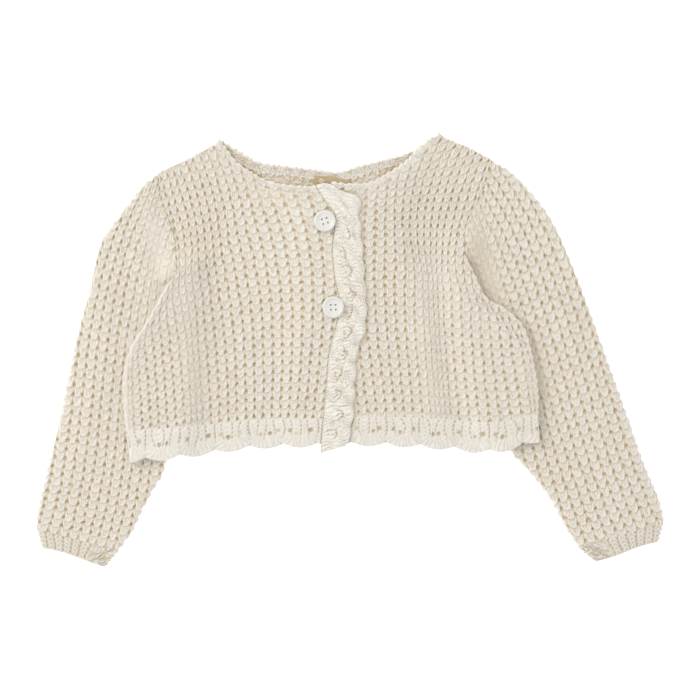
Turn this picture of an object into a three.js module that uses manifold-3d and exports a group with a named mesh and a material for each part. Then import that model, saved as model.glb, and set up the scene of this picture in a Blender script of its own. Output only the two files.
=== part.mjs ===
// A small child's knit shrug: a cropped cardigan with long sleeves, lying flat on its back.
// Units are millimetres. +X runs to the wearer's left, +Y to the neck and +Z up from the surface.
// The origin is on that surface, under the middle of the garment's outline.
//
// Each piece that is knitted or sewn on is one closed solid. The back lies lowest, the fronts lie on
// it, and the lace band of the right front lies on the left front. Both sleeves are flattened tubes.
// They meet the body edge to edge at the upper armholes and run under its sides lower down.
import * as THREE from "three";
import { mergeVertices } from "three/addons/utils/BufferGeometryUtils.js";
import Module from "manifold-3d";

// ---- Cloth and layers ------------------------------------------------------------------------
const WALL = 2.6; // thickness of the knit
const GAP = 0.3; // clearance at seams and between layers
const LAYER = WALL + GAP; // one thickness of cloth and the clearance above it
const SEAM_SHIFT = 0.4; // the body's armhole edge stands off the sleeve's by this much in X
const EDGE_WIDTH = 1.2; // width of the rounded border of a panel
const EDGE_DROP = 1.1; // how far the border's outer points lie below its top

// ---- Folds -----------------------------------------------------------------------------------
const TUCK_PLATEAU = 4; // the body stays fully raised this far past a tucked sleeve's inner edge
const TUCK_SLOPE = 20; // and comes down to the surface over this distance
const TUCK_FADE = 22; // above the underarm the raised armhole edge comes down over this height
const PLACKET_PLATEAU = 15; // the right front lies level over the under band for this width
const PLACKET_SLOPE = 18; // and comes down to the back over this distance
// The uncovered outer part of a sleeve stands up a little, between two heights in Y.
const SLEEVE_PUFF = { height: 1.2, share: 0.5, top: 60, bottom: -100, fade: 30 };
// The folds die out beside the strip where the two fronts lap, which lies flat.
const LAP_STRIP = { middle: 8, halfWidth: 14, fade: 16 };

// Soft ridges that the fronts' cloth lies in, from one end to the other.
const FOLDS = [
  { x0: -96, y0: 40, x1: -62, y1: 8, height: 1.1, width: 7 },
  { x0: -84, y0: 30, x1: -80, y1: -30, height: 0.9, width: 6 },
  { x0: 28, y0: 62, x1: 46, y1: 8, height: 1.6, width: 9 },
  { x0: 46, y0: 8, x1: 58, y1: -34, height: 1.6, width: 9 },
  { x0: -46, y0: 70, x1: -34, y1: 0, height: 0.7, width: 10 },
];

// ---- Outlines --------------------------------------------------------------------------------
// One record for each side. "inward" is the sign of X from that sleeve towards the middle.
const RIGHT = {
  inward: 1,
  // outer edge of the sleeve, from the shoulder tip to the cuff
  outer: [
    { x: -115.5, y: 105.5 },
    { x: -121.5, y: 101.5 },
    { x: -131.5, y: 90 },
    { x: -145, y: 72 },
    { x: -151, y: 60 },
    { x: -156.5, y: 36 },
    { x: -164.4, y: 6 },
    { x: -169.4, y: -18 },
    { x: -174.4, y: -42 },
    { x: -186, y: -90 },
    { x: -188.2, y: -107 },
  ],
  // inner edge of the sleeve: hidden under the body down to the hem, then open
  inner: [
    { x: -102, y: 36 },
    { x: -101.5, y: 6 },
    { x: -104, y: -30 },
    { x: -111, y: -70 },
    { x: -118, y: -84 },
    { x: -124.5, y: -96 },
    { x: -130, y: -108 },
    { x: -138.5, y: -120 },
  ],
  armhole: [
    { x: -103.3, y: 46 },
    { x: -105, y: 66 },
    { x: -109, y: 79 },
    { x: -113, y: 90 },
    { x: -115.5, y: 105.5 },
  ],
  // edge of the body from the hem seam up to the underarm, where its fold lies on the sleeve
  side: [
    { x: -134, y: -48 },
    { x: -135.5, y: -32 },
    { x: -135.5, y: -15 },
    { x: -131, y: 2 },
    { x: -124, y: 13 },
    { x: -116.5, y: 26 },
    { x: -110, y: 38 },
    { x: -103.3, y: 46 },
  ],
  // line from the hem seam to the neck that ends the raised side of the body
  princess: [
    { x: -76, y: -43.4 },
    { x: -74, y: 20 },
    { x: -76, y: 80 },
    { x: -81.5, y: 122.8 },
  ],
  shoulder: [
    { x: -115.5, y: 105.5 },
    { x: -106, y: 110 },
    { x: -97, y: 114 },
    { x: -90, y: 118 },
    { x: -81.5, y: 122.8 },
  ],
  cuffEnd: [
    { x: -185, y: -118.5 },
    { x: -172, y: -121.4 },
    { x: -157, y: -126.8 },
    { x: -147, y: -130.3 },
  ],
};
const LEFT = {
  inward: -1,
  outer: [
    { x: 85, y: 113.5 },
    { x: 95, y: 108 },
    { x: 107.5, y: 96 },
    { x: 121, y: 78 },
    { x: 132, y: 54 },
    { x: 141.4, y: 30 },
    { x: 154.5, y: -6 },
    { x: 167.4, y: -42 },
    { x: 175.6, y: -66 },
    { x: 185.5, y: -90 },
    { x: 188.2, y: -103 },
  ],
  inner: [
    { x: 70, y: 38 },
    { x: 77, y: 0 },
    { x: 87, y: -36 },
    { x: 96.5, y: -60.5 },
    { x: 105.5, y: -71 },
    { x: 118.3, y: -87 },
    { x: 129.6, y: -107 },
    { x: 137, y: -118.5 },
  ],
  armhole: [
    { x: 69, y: 57 },
    { x: 68.5, y: 69.5 },
    { x: 72, y: 81.5 },
    { x: 79, y: 94 },
    { x: 85, y: 113.5 },
  ],
  side: [
    { x: 112.3, y: -38 },
    { x: 112.5, y: -28 },
    { x: 110.5, y: -12 },
    { x: 104.5, y: 12 },
    { x: 93.5, y: 24 },
    { x: 81, y: 32 },
    { x: 75, y: 44 },
    { x: 69, y: 57 },
  ],
  princess: [
    { x: 58, y: -41.3 },
    { x: 46, y: 5 },
    { x: 40, y: 45 },
    { x: 44, y: 88 },
    { x: 57, y: 126.5 },
  ],
  shoulder: [
    { x: 85, y: 113.5 },
    { x: 74, y: 119.5 },
    { x: 65, y: 123.5 },
    { x: 57, y: 126.5 },
  ],
  cuffEnd: [
    { x: 185.2, y: -115 },
    { x: 173.5, y: -118 },
    { x: 159, y: -123.6 },
    { x: 147, y: -127 },
  ],
};

// Neck, from the wearer's right to the left: "edge" is the free edge, "seam" is where the band starts.
const BACK_NECK = {
  edge: [
    { x: -78.3, y: 126.8 },
    { x: -66, y: 119.5 },
    { x: -54, y: 113 },
    { x: -36, y: 110.5 },
    { x: -18, y: 108.3 },
    { x: -7, y: 107.2 },
    { x: 6, y: 111 },
    { x: 24, y: 115.4 },
    { x: 37, y: 119.8 },
    { x: 53, y: 130.3 },
  ],
  seam: [
    { x: -81.5, y: 122.8 },
    { x: -69, y: 114.5 },
    { x: -56, y: 107.8 },
    { x: -36, y: 105 },
    { x: -18, y: 103 },
    { x: -7, y: 102 },
    { x: 6, y: 105.6 },
    { x: 25, y: 110.8 },
    { x: 39, y: 115.8 },
    { x: 57, y: 126.5 },
  ],
};
const RIGHT_NECK = {
  edge: [
    { x: -78.3, y: 126.8 },
    { x: -71.5, y: 117.5 },
    { x: -66, y: 111.5 },
    { x: -51.5, y: 102.5 },
    { x: -40, y: 99.3 },
    { x: -26, y: 98 },
    { x: -20.5, y: 98.5 },
  ],
  seam: [
    { x: -81.5, y: 122.8 },
    { x: -75.5, y: 114 },
    { x: -69.5, y: 108 },
    { x: -53.5, y: 97.8 },
    { x: -41, y: 94.3 },
    { x: -26, y: 93 },
    { x: -17.7, y: 93.2 },
  ],
};
const LEFT_NECK = {
  edge: [
    { x: -11.5, y: 101 },
    { x: 0, y: 99.8 },
    { x: 11, y: 100.6 },
    { x: 18, y: 103.6 },
    { x: 28, y: 109.6 },
    { x: 35, y: 115 },
    { x: 41.5, y: 122 },
    { x: 53, y: 130.3 },
  ],
  seam: [
    { x: -11.5, y: 96 },
    { x: 0, y: 94.8 },
    { x: 11.5, y: 95 },
    { x: 20, y: 97.2 },
    { x: 28.5, y: 102 },
    { x: 42.5, y: 112.5 },
    { x: 49.5, y: 120 },
    { x: 57, y: 126.5 },
  ],
};

// Hem: where its edging is knitted on, and the line that its scallops hang from.
const HEM = [
  { x: -136, seam: -48.2, edge: -65.5 },
  { x: -100, seam: -46, edge: -62.5 },
  { x: -60, seam: -42, edge: -57.4 },
  { x: -20, seam: -41, edge: -55.8 },
  { x: 20, seam: -40, edge: -55.5 },
  { x: 60, seam: -41.5, edge: -57.8 },
  { x: 85, seam: -43, edge: -59.5 },
  { x: 114, seam: -38, edge: -52.5 },
];
const SCALLOP = { pitch: 20.5, depth: 2.6, start: 1 };
const HEM_RIB = { perScallop: 5, height: 0.4 };

// Front opening, from the neck to the hem: the seam of the lace band, and the lace band's width.
const OPENING = [
  { y: 98.5, x: -20.5, lace: 13 },
  { y: 92, x: -17, lace: 22 },
  { y: 81, x: -9.2, lace: 14.7 },
  { y: 60, x: -10.6, lace: 18.2 },
  { y: 41, x: -8.8, lace: 17.6 },
  { y: 29, x: -6.2, lace: 16 },
  { y: 12, x: -8.8, lace: 17.8 },
  { y: -1, x: -12.4, lace: 16.8 },
  { y: -20, x: -14, lace: 17 },
  { y: -41, x: -16, lace: 17.6 },
  { y: -58, x: -17.6, lace: 15.6 },
];
// The lace band's ends slope: each has its own height at the seam and at the free edge.
const LACE_ENDS = { top: { seam: 98.7, free: 92.6 }, bottom: { seam: -61.8, free: -57.4 } };
const LACE_SCALLOP = { count: 12, depth: 1.3 };
const LACE_RIB = { perScallop: 3, height: 0.4 };
// Free edge of the under band: its X at the hem, how far it bows out between, and the band's width.
const UNDER_BAND = { foot: -18.5, bow: 3, width: 14 };

const CUFF_RIB = { count: 9, height: 0.55 };
const BUTTON = { radius: 6.5, rim: 1.3, thickness: 2.4, dish: 0.8, hole: 0.55, spread: 2.05 };
const BUTTON_PLACES = [
  { name: "button_upper", x: -15, y: 77, turn: 0.3 },
  { name: "button_lower", x: -10, y: 25.5, turn: 0.05 },
];
const TAPE = { x: -11, bottom: 96.6, width: 21, height: 7.6, thickness: 0.5 };
const TAPE_RAISE = { height: 1, fade: 12 }; // the fronts stand this much higher over the tape

// ---- How finely each piece is divided ----------------------------------------------------------
const BODY_ROWS = 14;
const UNDERARM_ROW = 9; // the body's row that ends at the underarm
const SIDE_COLUMNS = 8;
const BACK_COLUMNS = 20;
const FRONT_COLUMNS = 8;
const SLEEVE_ROWS = 14;
const SLEEVE_COLUMNS = 8;
const NARROW_STOPS = [0, 0.08, 0.5, 0.93, 1]; // across an edging, narrow at both borders
const FOLD_SHARE = 0.08; // of a flattened tube's width, kept at each side for its rounded fold
const PANEL = { height: 150, side: 56, middle: 58 }; // rough sizes that place the narrow stops

// ---- Plan curves and patches -------------------------------------------------------------------

/** Smooth plan curve through a table's rows, as a function of 0 to 1 along its length. */
function through(rows) {
  const curve = new THREE.SplineCurve(rows.map(({ x, y }) => new THREE.Vector2(x, y)));
  return (t) => curve.getPointAt(THREE.MathUtils.clamp(t, 0, 1));
}

/** Curves end to end: each one runs as far as its share of 0 to 1. */
function endToEnd(...spans) {
  return (t) => {
    const span = spans.find(({ upTo }) => t <= upTo + 1e-9) ?? spans.at(-1);
    const from = spans[spans.indexOf(span) - 1]?.upTo ?? 0;
    return span.along((t - from) / (span.upTo - from));
  };
}

/** The same curve moved sideways, to its left. */
function beside(along, distance) {
  const step = 0.004;
  return (t) => {
    const back = Math.min(Math.max(t, step), 1 - step);
    const direction = along(back + step).sub(along(back - step)).normalize();
    return along(t).add(new THREE.Vector2(-direction.y, direction.x).multiplyScalar(distance));
  };
}

const reversed = (along) => (t) => along(1 - t);
const straight = (from, to) => (t) => from.clone().lerp(to, t);

/** Smooth value of one column of a table as a function of another column. */
function column(rows, key, value) {
  const sorted = [...rows].sort((a, b) => a[key] - b[key]);
  const slope = (i) => {
    const before = sorted[Math.max(i - 1, 0)];
    const after = sorted[Math.min(i + 1, sorted.length - 1)];
    return (after[value] - before[value]) / (after[key] - before[key]);
  };
  return (at) => {
    const last = sorted.length - 2;
    const next = sorted.findIndex((row) => row[key] > at) - 1;
    const i = THREE.MathUtils.clamp(next < -1 ? last : next, 0, last);
    const [a, b] = [sorted[i], sorted[i + 1]];
    const width = b[key] - a[key];
    const t = THREE.MathUtils.clamp((at - a[key]) / width, 0, 1);
    const bend = (2 * t - 3) * t * t;
    return (
      a[value] * (1 + bend) -
      b[value] * bend +
      slope(i) * width * t * (1 - t) * (1 - t) -
      slope(i + 1) * width * t * t * (1 - t)
    );
  };
}

/** Plan patch between four curves that share their corners. */
function patch({ bottom, top, left, right }) {
  return (u, v) =>
    new THREE.Vector2()
      .addScaledVector(bottom(u), 1 - v)
      .addScaledVector(top(u), v)
      .addScaledVector(left(v), 1 - u)
      .addScaledVector(right(v), u)
      .addScaledVector(bottom(0), -(1 - u) * (1 - v))
      .addScaledVector(bottom(1), -u * (1 - v))
      .addScaledVector(top(0), -(1 - u) * v)
      .addScaledVector(top(1), -u * v);
}

/** Even stops from 0 to 1. */
const even = (steps) => Array.from({ length: steps + 1 }, (_, i) => i / steps);

/** Even stops with a narrow one inside each end that is a free edge. */
function bordered(steps, length, ends = { first: true, last: true }) {
  const inset = EDGE_WIDTH / length;
  const stops = even(steps);
  if (ends.first) stops.splice(1, 0, inset);
  if (ends.last) stops.splice(-1, 0, 1 - inset);
  return stops;
}

// ---- Heights -----------------------------------------------------------------------------------

/** 1 up to zero distance, 0 past the reach, and smooth between them. */
const fall = (distance, reach) =>
  (1 + Math.cos(Math.PI * THREE.MathUtils.clamp(distance / reach, 0, 1))) / 2;

for (const side of [RIGHT, LEFT]) {
  side.innerX = column(side.inner, "y", "x");
  side.outerX = column(side.outer, "y", "x");
  side.underarm = side.side.at(-1).y;
}

/** Height of the body's lowest face: it climbs over the sleeves that are tucked under it. */
function tuckLift(x, y) {
  const lifts = [RIGHT, LEFT].map((side) => {
    const past = side.inward * (x - side.innerX(y)) - TUCK_PLATEAU;
    return fall(past, TUCK_SLOPE) * fall(y - side.underarm - 1, TUCK_FADE);
  });
  return 2 * LAYER * Math.max(...lifts);
}

/** Height that the soft ridges add to the fronts. */
function foldLift(x, y) {
  return FOLDS.reduce((sum, { x0, y0, x1, y1, height, width }) => {
    const [dx, dy] = [x1 - x0, y1 - y0];
    const along = ((x - x0) * dx + (y - y0) * dy) / (dx * dx + dy * dy);
    const t = THREE.MathUtils.clamp(along, 0, 1);
    const away = Math.hypot(x - x0 - dx * t, y - y0 - dy * t) / width;
    return sum + height * Math.exp(-away * away);
  }, 0);
}

const seamX = column(OPENING, "y", "x");
const laceWidth = column(OPENING, "y", "lace");

/** Clearance that the neck tape needs under the fronts. */
function tapeLift(x, y) {
  const beside = fall(Math.abs(x - TAPE.x) - TAPE.width / 2, TAPE_RAISE.fade);
  return TAPE_RAISE.height * beside * fall(TAPE.bottom - y, TAPE_RAISE.fade);
}

/** Lower face of the fronts. The folds are pressed flat where the two fronts lap. */
function frontUnder(x, y) {
  const fromStrip = Math.abs(x - seamX(y) - LAP_STRIP.middle) - LAP_STRIP.halfWidth;
  const folds = foldLift(x, y) * (1 - fall(fromStrip, LAP_STRIP.fade));
  return LAYER + tuckLift(x, y) + folds + tapeLift(x, y);
}

/** The right front also climbs onto the under band beside the opening. */
const rightUnder = (x, y) =>
  frontUnder(x, y) + LAYER * fall(seamX(y) - PLACKET_PLATEAU - x, PLACKET_SLOPE);
const laceUnder = (x, y) => frontUnder(x, y) + LAYER;

/** Height added to the open outer half of a sleeve. */
function sleevePuff(side, x, y) {
  const { height, share, top, bottom, fade } = SLEEVE_PUFF;
  const across = (x - side.outerX(y)) / (side.innerX(y) - side.outerX(y));
  const t = THREE.MathUtils.clamp(across / share, 0, 1);
  const ends = (1 - fall(top - y, fade)) * (1 - fall(y - bottom, fade));
  return (height * ends * (1 - Math.cos(2 * Math.PI * t))) / 2;
}

// ---- Solids from grids -------------------------------------------------------------------------

/** Closed geometry from its points and quads, turned so that its faces point out. */
function closed(points, quads) {
  const triangles = quads.flatMap(([a, b, c, d]) => [
    [a, b, c],
    [a, c, d],
  ]);
  const cross = new THREE.Vector3();
  const volume = triangles.reduce(
    (sum, [a, b, c]) => sum + points[a].dot(cross.crossVectors(points[b], points[c])),
    0,
  );
  const index = triangles.flatMap(([a, b, c]) => (volume < 0 ? [a, c, b] : [a, b, c]));
  const geometry = new THREE.BufferGeometry().setFromPoints(points);
  geometry.setIndex(index);
  geometry.computeVertexNormals();
  return geometry;
}

/** Wall between two grids of points (rows of the same length), closed all round its border. */
function slab(top, bottom) {
  const [rows, columns] = [top.length, top[0].length];
  const points = [...top.flat(), ...bottom.flat()];
  const up = (j, i) => j * columns + i;
  const down = (j, i) => rows * columns + j * columns + i;
  const quads = [];
  for (let j = 0; j < rows - 1; j++) {
    for (let i = 0; i < columns - 1; i++) {
      quads.push([up(j, i), up(j, i + 1), up(j + 1, i + 1), up(j + 1, i)]);
      quads.push([down(j, i), down(j + 1, i), down(j + 1, i + 1), down(j, i + 1)]);
    }
    const end = columns - 1;
    quads.push([up(j, 0), up(j + 1, 0), down(j + 1, 0), down(j, 0)]);
    quads.push([up(j + 1, end), up(j, end), down(j, end), down(j + 1, end)]);
  }
  for (let i = 0; i < columns - 1; i++) {
    const end = rows - 1;
    quads.push([up(0, i + 1), up(0, i), down(0, i), down(0, i + 1)]);
    quads.push([up(end, i), up(end, i + 1), down(end, i + 1), down(end, i)]);
  }
  return closed(points, quads);
}

/** Wall between an outer and an inner set of rings, open at both ends. */
function tube(outer, inner) {
  const [rows, around] = [outer.length, outer[0].length];
  const points = [...outer.flat(), ...inner.flat()];
  const out = (j, i) => j * around + (i % around);
  const within = (j, i) => rows * around + out(j, i);
  const quads = [];
  for (let i = 0; i < around; i++) {
    for (let j = 0; j < rows - 1; j++) {
      quads.push([out(j, i), out(j, i + 1), out(j + 1, i + 1), out(j + 1, i)]);
      quads.push([within(j, i), within(j + 1, i), within(j + 1, i + 1), within(j, i + 1)]);
    }
    const end = rows - 1;
    quads.push([out(0, i + 1), out(0, i), within(0, i), within(0, i + 1)]);
    quads.push([out(end, i), out(end, i + 1), within(end, i + 1), within(end, i)]);
  }
  return closed(points, quads);
}

/**
 * Flat piece of cloth. Its plan is one or more patches side by side, each with its own stops across,
 * "under" gives the height of its lower face, and "relief" what its outer face adds to the wall.
 */
function cloth({ strips, rows, under, relief = () => 0 }) {
  const plan = rows.map((v) =>
    strips.flatMap(({ plan: at, stops }, n) =>
      stops.slice(n ? 1 : 0).map((u) => ({ p: at(u, v), extra: relief(u, v) })),
    ),
  );
  const raise = (j, i, { p, extra }) => {
    const border = j === 0 || i === 0 || j === plan.length - 1 || i === plan[0].length - 1;
    return new THREE.Vector3(p.x, p.y, under(p.x, p.y) + WALL + (border ? -EDGE_DROP : extra));
  };
  const top = plan.map((row, j) => row.map((spot, i) => raise(j, i, spot)));
  const bottom = plan.map((row) =>
    row.map(({ p }) => new THREE.Vector3(p.x, p.y, under(p.x, p.y))),
  );
  return slab(top, bottom);
}

/**
 * Flattened tube on the surface: its plan runs from the outer fold (u = 0) to the inner one (u = 1).
 * Only its upper face is raised by "puff" and carries "relief". Its lower face lies flat.
 */
function flatTube({ plan, rows, columns, puff, relief = () => 0 }) {
  const half = WALL + GAP / 2;
  const lowColumns = even(4).slice(1, -1);
  const highColumns = even(columns).filter((u) => u > FOLD_SHARE && u < 1 - FOLD_SHARE);
  const ringAt = (v, isOuter) => {
    const width = plan(0, v).distanceTo(plan(1, v));
    const fold = half / width;
    const shrink = isOuter ? 0 : WALL / width;
    const place = (u) => plan(shrink + u * (1 - 2 * shrink), v);
    const [high, low] = isOuter ? [2 * half, 0] : [2 * half - WALL, WALL];
    const near = (end) => half + (end - half) * 0.75;
    const upper = [fold * 0.3, fold, ...highColumns, 1 - fold, 1 - fold * 0.3].map((u, i, all) => {
      const p = place(u);
      const isFold = i === 0 || i === all.length - 1;
      const swell = isFold ? 0 : puff(p.x, p.y) + (isOuter ? relief(u, v) : 0);
      return new THREE.Vector3(p.x, p.y, (isFold ? near(high) : high) + swell);
    });
    const lower = [1 - fold * 0.3, 1 - fold, ...lowColumns.toReversed(), fold, fold * 0.3].map(
      (u, i, all) => {
        const p = place(u);
        return new THREE.Vector3(p.x, p.y, i === 0 || i === all.length - 1 ? near(low) : low);
      },
    );
    const [first, last] = [place(0), place(1)];
    return [
      new THREE.Vector3(first.x, first.y, half),
      ...upper,
      new THREE.Vector3(last.x, last.y, half),
      ...lower,
    ];
  };
  return tube(
    rows.map((v) => ringAt(v, true)),
    rows.map((v) => ringAt(v, false)),
  );
}

// ---- Body --------------------------------------------------------------------------------------

const hemSeamY = column(HEM, "x", "seam");
const hemEdgeY = column(HEM, "x", "edge");
/** The hem seam between two of its X values. */
const alongHem = (from, to) => (t) => {
  const x = THREE.MathUtils.lerp(from, to, t);
  return new THREE.Vector2(x, hemSeamY(x));
};
const startX = (along) => along(0).x;

/** The edge of the body on one side, from the hem seam past the underarm to the shoulder tip. */
function sideEdge(side) {
  const shift = ({ x, y }) => ({ x: x + side.inward * SEAM_SHIFT, y });
  const lower = side.side.map((row, i, all) => (i === all.length - 1 ? shift(row) : row));
  lower[0] = { x: lower[0].x, y: hemSeamY(lower[0].x) };
  return endToEnd(
    { upTo: UNDERARM_ROW / BODY_ROWS, along: through(lower) },
    { upTo: 1, along: through(side.armhole.map(shift)) },
  );
}

/** The line from the hem seam to the neck where the raised side ends. */
function princessLine(side) {
  const [foot, ...rest] = side.princess;
  return through([{ x: foot.x, y: hemSeamY(foot.x) }, ...rest]);
}

/** Shoulder of one side, from its tip to the neck. */
function shoulderLine(side) {
  const [tip, ...rest] = side.shoulder;
  return through([{ x: tip.x + side.inward * SEAM_SHIFT, y: tip.y }, ...rest]);
}

const princess = { right: princessLine(RIGHT), left: princessLine(LEFT) };
const edges = { right: sideEdge(RIGHT), left: sideEdge(LEFT) };

/** The raised side of the body, shared point for point by the back and the front that lies on it. */
const sidePatch = {
  right: patch({
    left: edges.right,
    right: princess.right,
    bottom: alongHem(startX(edges.right), startX(princess.right)),
    top: shoulderLine(RIGHT),
  }),
  left: patch({
    left: princess.left,
    right: edges.left,
    bottom: alongHem(startX(princess.left), startX(edges.left)),
    top: reversed(shoulderLine(LEFT)),
  }),
};
const bodyRows = bordered(BODY_ROWS, PANEL.height);
const outerStops = bordered(SIDE_COLUMNS, PANEL.side, { first: true, last: false });
const sideStrips = {
  right: { plan: sidePatch.right, stops: outerStops },
  left: { plan: sidePatch.left, stops: outerStops.map((u) => 1 - u).reverse() },
};

function backPanel() {
  const middle = patch({
    left: princess.right,
    right: princess.left,
    bottom: alongHem(startX(princess.right), startX(princess.left)),
    top: through(BACK_NECK.seam),
  });
  return cloth({
    strips: [sideStrips.right, { plan: middle, stops: even(BACK_COLUMNS) }, sideStrips.left],
    rows: bodyRows,
    under: tuckLift,
  });
}

/** Opening edges from the hem seam up: the lace seam, and the seam of the under band. */
const laceSeam = through(
  OPENING.filter(({ y }) => y < 93 && y > -41)
    .concat({ x: seamX(hemSeamY(-16)), y: hemSeamY(-16) }, RIGHT_NECK.seam.at(-1))
    .sort((a, b) => a.y - b.y)
    .map(({ x, y }) => ({ x: x - GAP, y })),
);
/** The hem seam between two points that lie on it or just beside it. */
function seamBetween(from, to) {
  return (t) => {
    const x = THREE.MathUtils.lerp(from.x, to.x, t);
    const beside = THREE.MathUtils.lerp(from.y - hemSeamY(from.x), to.y - hemSeamY(to.x), t);
    return new THREE.Vector2(x, hemSeamY(x) + beside);
  };
}

function rightFront() {
  const neck = RIGHT_NECK.seam.with(-1, { ...RIGHT_NECK.seam.at(-1), x: laceSeam(1).x });
  const middle = patch({
    left: princess.right,
    right: laceSeam,
    bottom: seamBetween(princess.right(0), laceSeam(0)),
    top: through(neck),
  });
  const stops = bordered(FRONT_COLUMNS, PANEL.middle, { first: false, last: true });
  return cloth({
    strips: [sideStrips.right, { plan: middle, stops }],
    rows: bodyRows,
    under: rightUnder,
  });
}

const leftNeckY = column(LEFT_NECK.seam, "x", "y");

/** The left neck seam between two of its X values. */
const alongLeftNeck = (from, to) => (t) => {
  const x = THREE.MathUtils.lerp(from, to, t);
  return new THREE.Vector2(x, leftNeckY(x));
};

/** One edge of the under band, "across" from its free edge, from the hem seam to the neck seam. */
function underBandEdge(across) {
  const top = LEFT_NECK.seam[0].x + across;
  const foot = UNDER_BAND.foot + across;
  return (t) => {
    const y = THREE.MathUtils.lerp(hemSeamY(foot), leftNeckY(top), t);
    const bow = UNDER_BAND.bow * Math.sin(Math.PI * t);
    return new THREE.Vector2(THREE.MathUtils.lerp(foot, top, t) + bow, y);
  };
}

function underBand() {
  const [free, sewn] = [underBandEdge(0), underBandEdge(UNDER_BAND.width)];
  const plan = patch({
    left: free,
    right: sewn,
    bottom: seamBetween(free(0), sewn(0)),
    top: alongLeftNeck(free(1).x, sewn(1).x),
  });
  const stops = bordered(1, UNDER_BAND.width);
  return cloth({ strips: [{ plan, stops }], rows: bodyRows, under: frontUnder });
}

function leftFront() {
  const start = underBandEdge(UNDER_BAND.width + GAP);
  const middle = patch({
    left: start,
    right: princess.left,
    bottom: seamBetween(start(0), princess.left(0)),
    top: alongLeftNeck(start(1).x, princess.left(1).x),
  });
  const stops = bordered(FRONT_COLUMNS, PANEL.middle, { first: true, last: false });
  return cloth({
    strips: [{ plan: middle, stops }, sideStrips.left],
    rows: bodyRows,
    under: frontUnder,
  });
}

// ---- Edgings -----------------------------------------------------------------------------------

/**
 * Hem edging between two ends, each with its X on the seam and on the free edge. Its outer face is
 * ribbed where "ribbed" holds, with two columns of points to a rib.
 */
function hemEdging({ from, to, under, ribbed, perScallop = 2 * HEM_RIB.perScallop }) {
  const columns = Math.round(((to.edge - from.edge) / SCALLOP.pitch) * perScallop);
  const swing = (x) => Math.abs(Math.sin((Math.PI * (x - SCALLOP.start)) / SCALLOP.pitch));
  const plan = (u, v) => {
    const seam = THREE.MathUtils.lerp(from.seam, to.seam, u);
    const edge = THREE.MathUtils.lerp(from.edge, to.edge, u);
    const low = hemEdgeY(edge) - SCALLOP.depth * swing(edge);
    return new THREE.Vector2(
      THREE.MathUtils.lerp(edge, seam, v),
      THREE.MathUtils.lerp(low, hemSeamY(seam) - GAP, v),
    );
  };
  const relief = (u, v) => {
    const rib = Math.round(u * columns) % 2 ? HEM_RIB.height : 0;
    return ribbed(plan(u, v).x) ? rib : 0;
  };
  return cloth({ strips: [{ plan, stops: even(columns) }], rows: NARROW_STOPS, under, relief });
}

const hemEnds = {
  right: { seam: -134, edge: -131 },
  left: { seam: 112.3, edge: 113.4 },
  rightOpening: { seam: seamX(-41) - GAP, edge: seamX(LACE_ENDS.bottom.seam) - GAP },
  leftOpening: { seam: UNDER_BAND.foot, edge: UNDER_BAND.foot },
};

function laceBand() {
  const { count, depth } = LACE_SCALLOP;
  const rows = count * LACE_RIB.perScallop * 2;
  const plan = (u, v) => {
    const atSeam = THREE.MathUtils.lerp(LACE_ENDS.bottom.seam, LACE_ENDS.top.seam, v);
    const atFree = THREE.MathUtils.lerp(LACE_ENDS.bottom.free, LACE_ENDS.top.free, v);
    const scallop = depth * (Math.abs(Math.sin(Math.PI * count * v)) - 0.5);
    const seam = seamX(atSeam) + GAP;
    const free = seamX(atFree) + laceWidth(atFree) + scallop;
    return new THREE.Vector2(
      THREE.MathUtils.lerp(seam, free, u),
      THREE.MathUtils.lerp(atSeam, atFree, u),
    );
  };
  const relief = (u, v) => (Math.round(v * rows) % 2 ? LACE_RIB.height : 0);
  const strip = { plan, stops: NARROW_STOPS };
  return cloth({ strips: [strip], rows: even(rows), under: laceUnder, relief });
}

/** Neckband between its seam and its free edge. */
function neckband({ seam, edge, under, columns }) {
  const [bottom, top] = [beside(through(seam), 1.3 * GAP), through(edge)];
  const plan = patch({
    bottom,
    top,
    left: straight(bottom(0), top(0)),
    right: straight(bottom(1), top(1)),
  });
  return cloth({ strips: [{ plan, stops: even(columns) }], rows: [0, 0.25, 0.75, 1], under });
}

/** Right neck rows, ending short of the lace band. */
const besideLace = (rows) => rows.with(-1, { x: rows.at(-1).x - 1.5 * GAP, y: rows.at(-1).y });

// ---- Sleeves -----------------------------------------------------------------------------------

const vector = ({ x, y }) => new THREE.Vector2(x, y);

function sleeve(side) {
  const plan = patch({
    left: through(side.outer),
    right: through(side.inner),
    bottom: through([...side.armhole.toReversed(), side.inner[0]]),
    top: straight(vector(side.outer.at(-1)), vector(side.inner.at(-1))),
  });
  return flatTube({
    plan,
    rows: even(SLEEVE_ROWS),
    columns: SLEEVE_COLUMNS,
    puff: (x, y) => sleevePuff(side, x, y),
  });
}

function cuff(side) {
  const down = new THREE.Vector2(0, -1.2 * GAP);
  const [outer, inner] = [side.outer, side.inner].map((rows) => vector(rows.at(-1)).add(down));
  const end = through(side.cuffEnd);
  const plan = patch({
    bottom: straight(outer, inner),
    top: end,
    left: straight(outer, end(0)),
    right: straight(inner, end(1)),
  });
  return flatTube({
    plan,
    rows: [0, 0.5, 1],
    columns: CUFF_RIB.count * 3,
    puff: () => 0,
    relief: (u) => (CUFF_RIB.height * (1 - Math.cos(2 * Math.PI * CUFF_RIB.count * u))) / 2,
  });
}

// ---- Buttons and tape --------------------------------------------------------------------------

const wasm = await Module();
wasm.setup();

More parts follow.
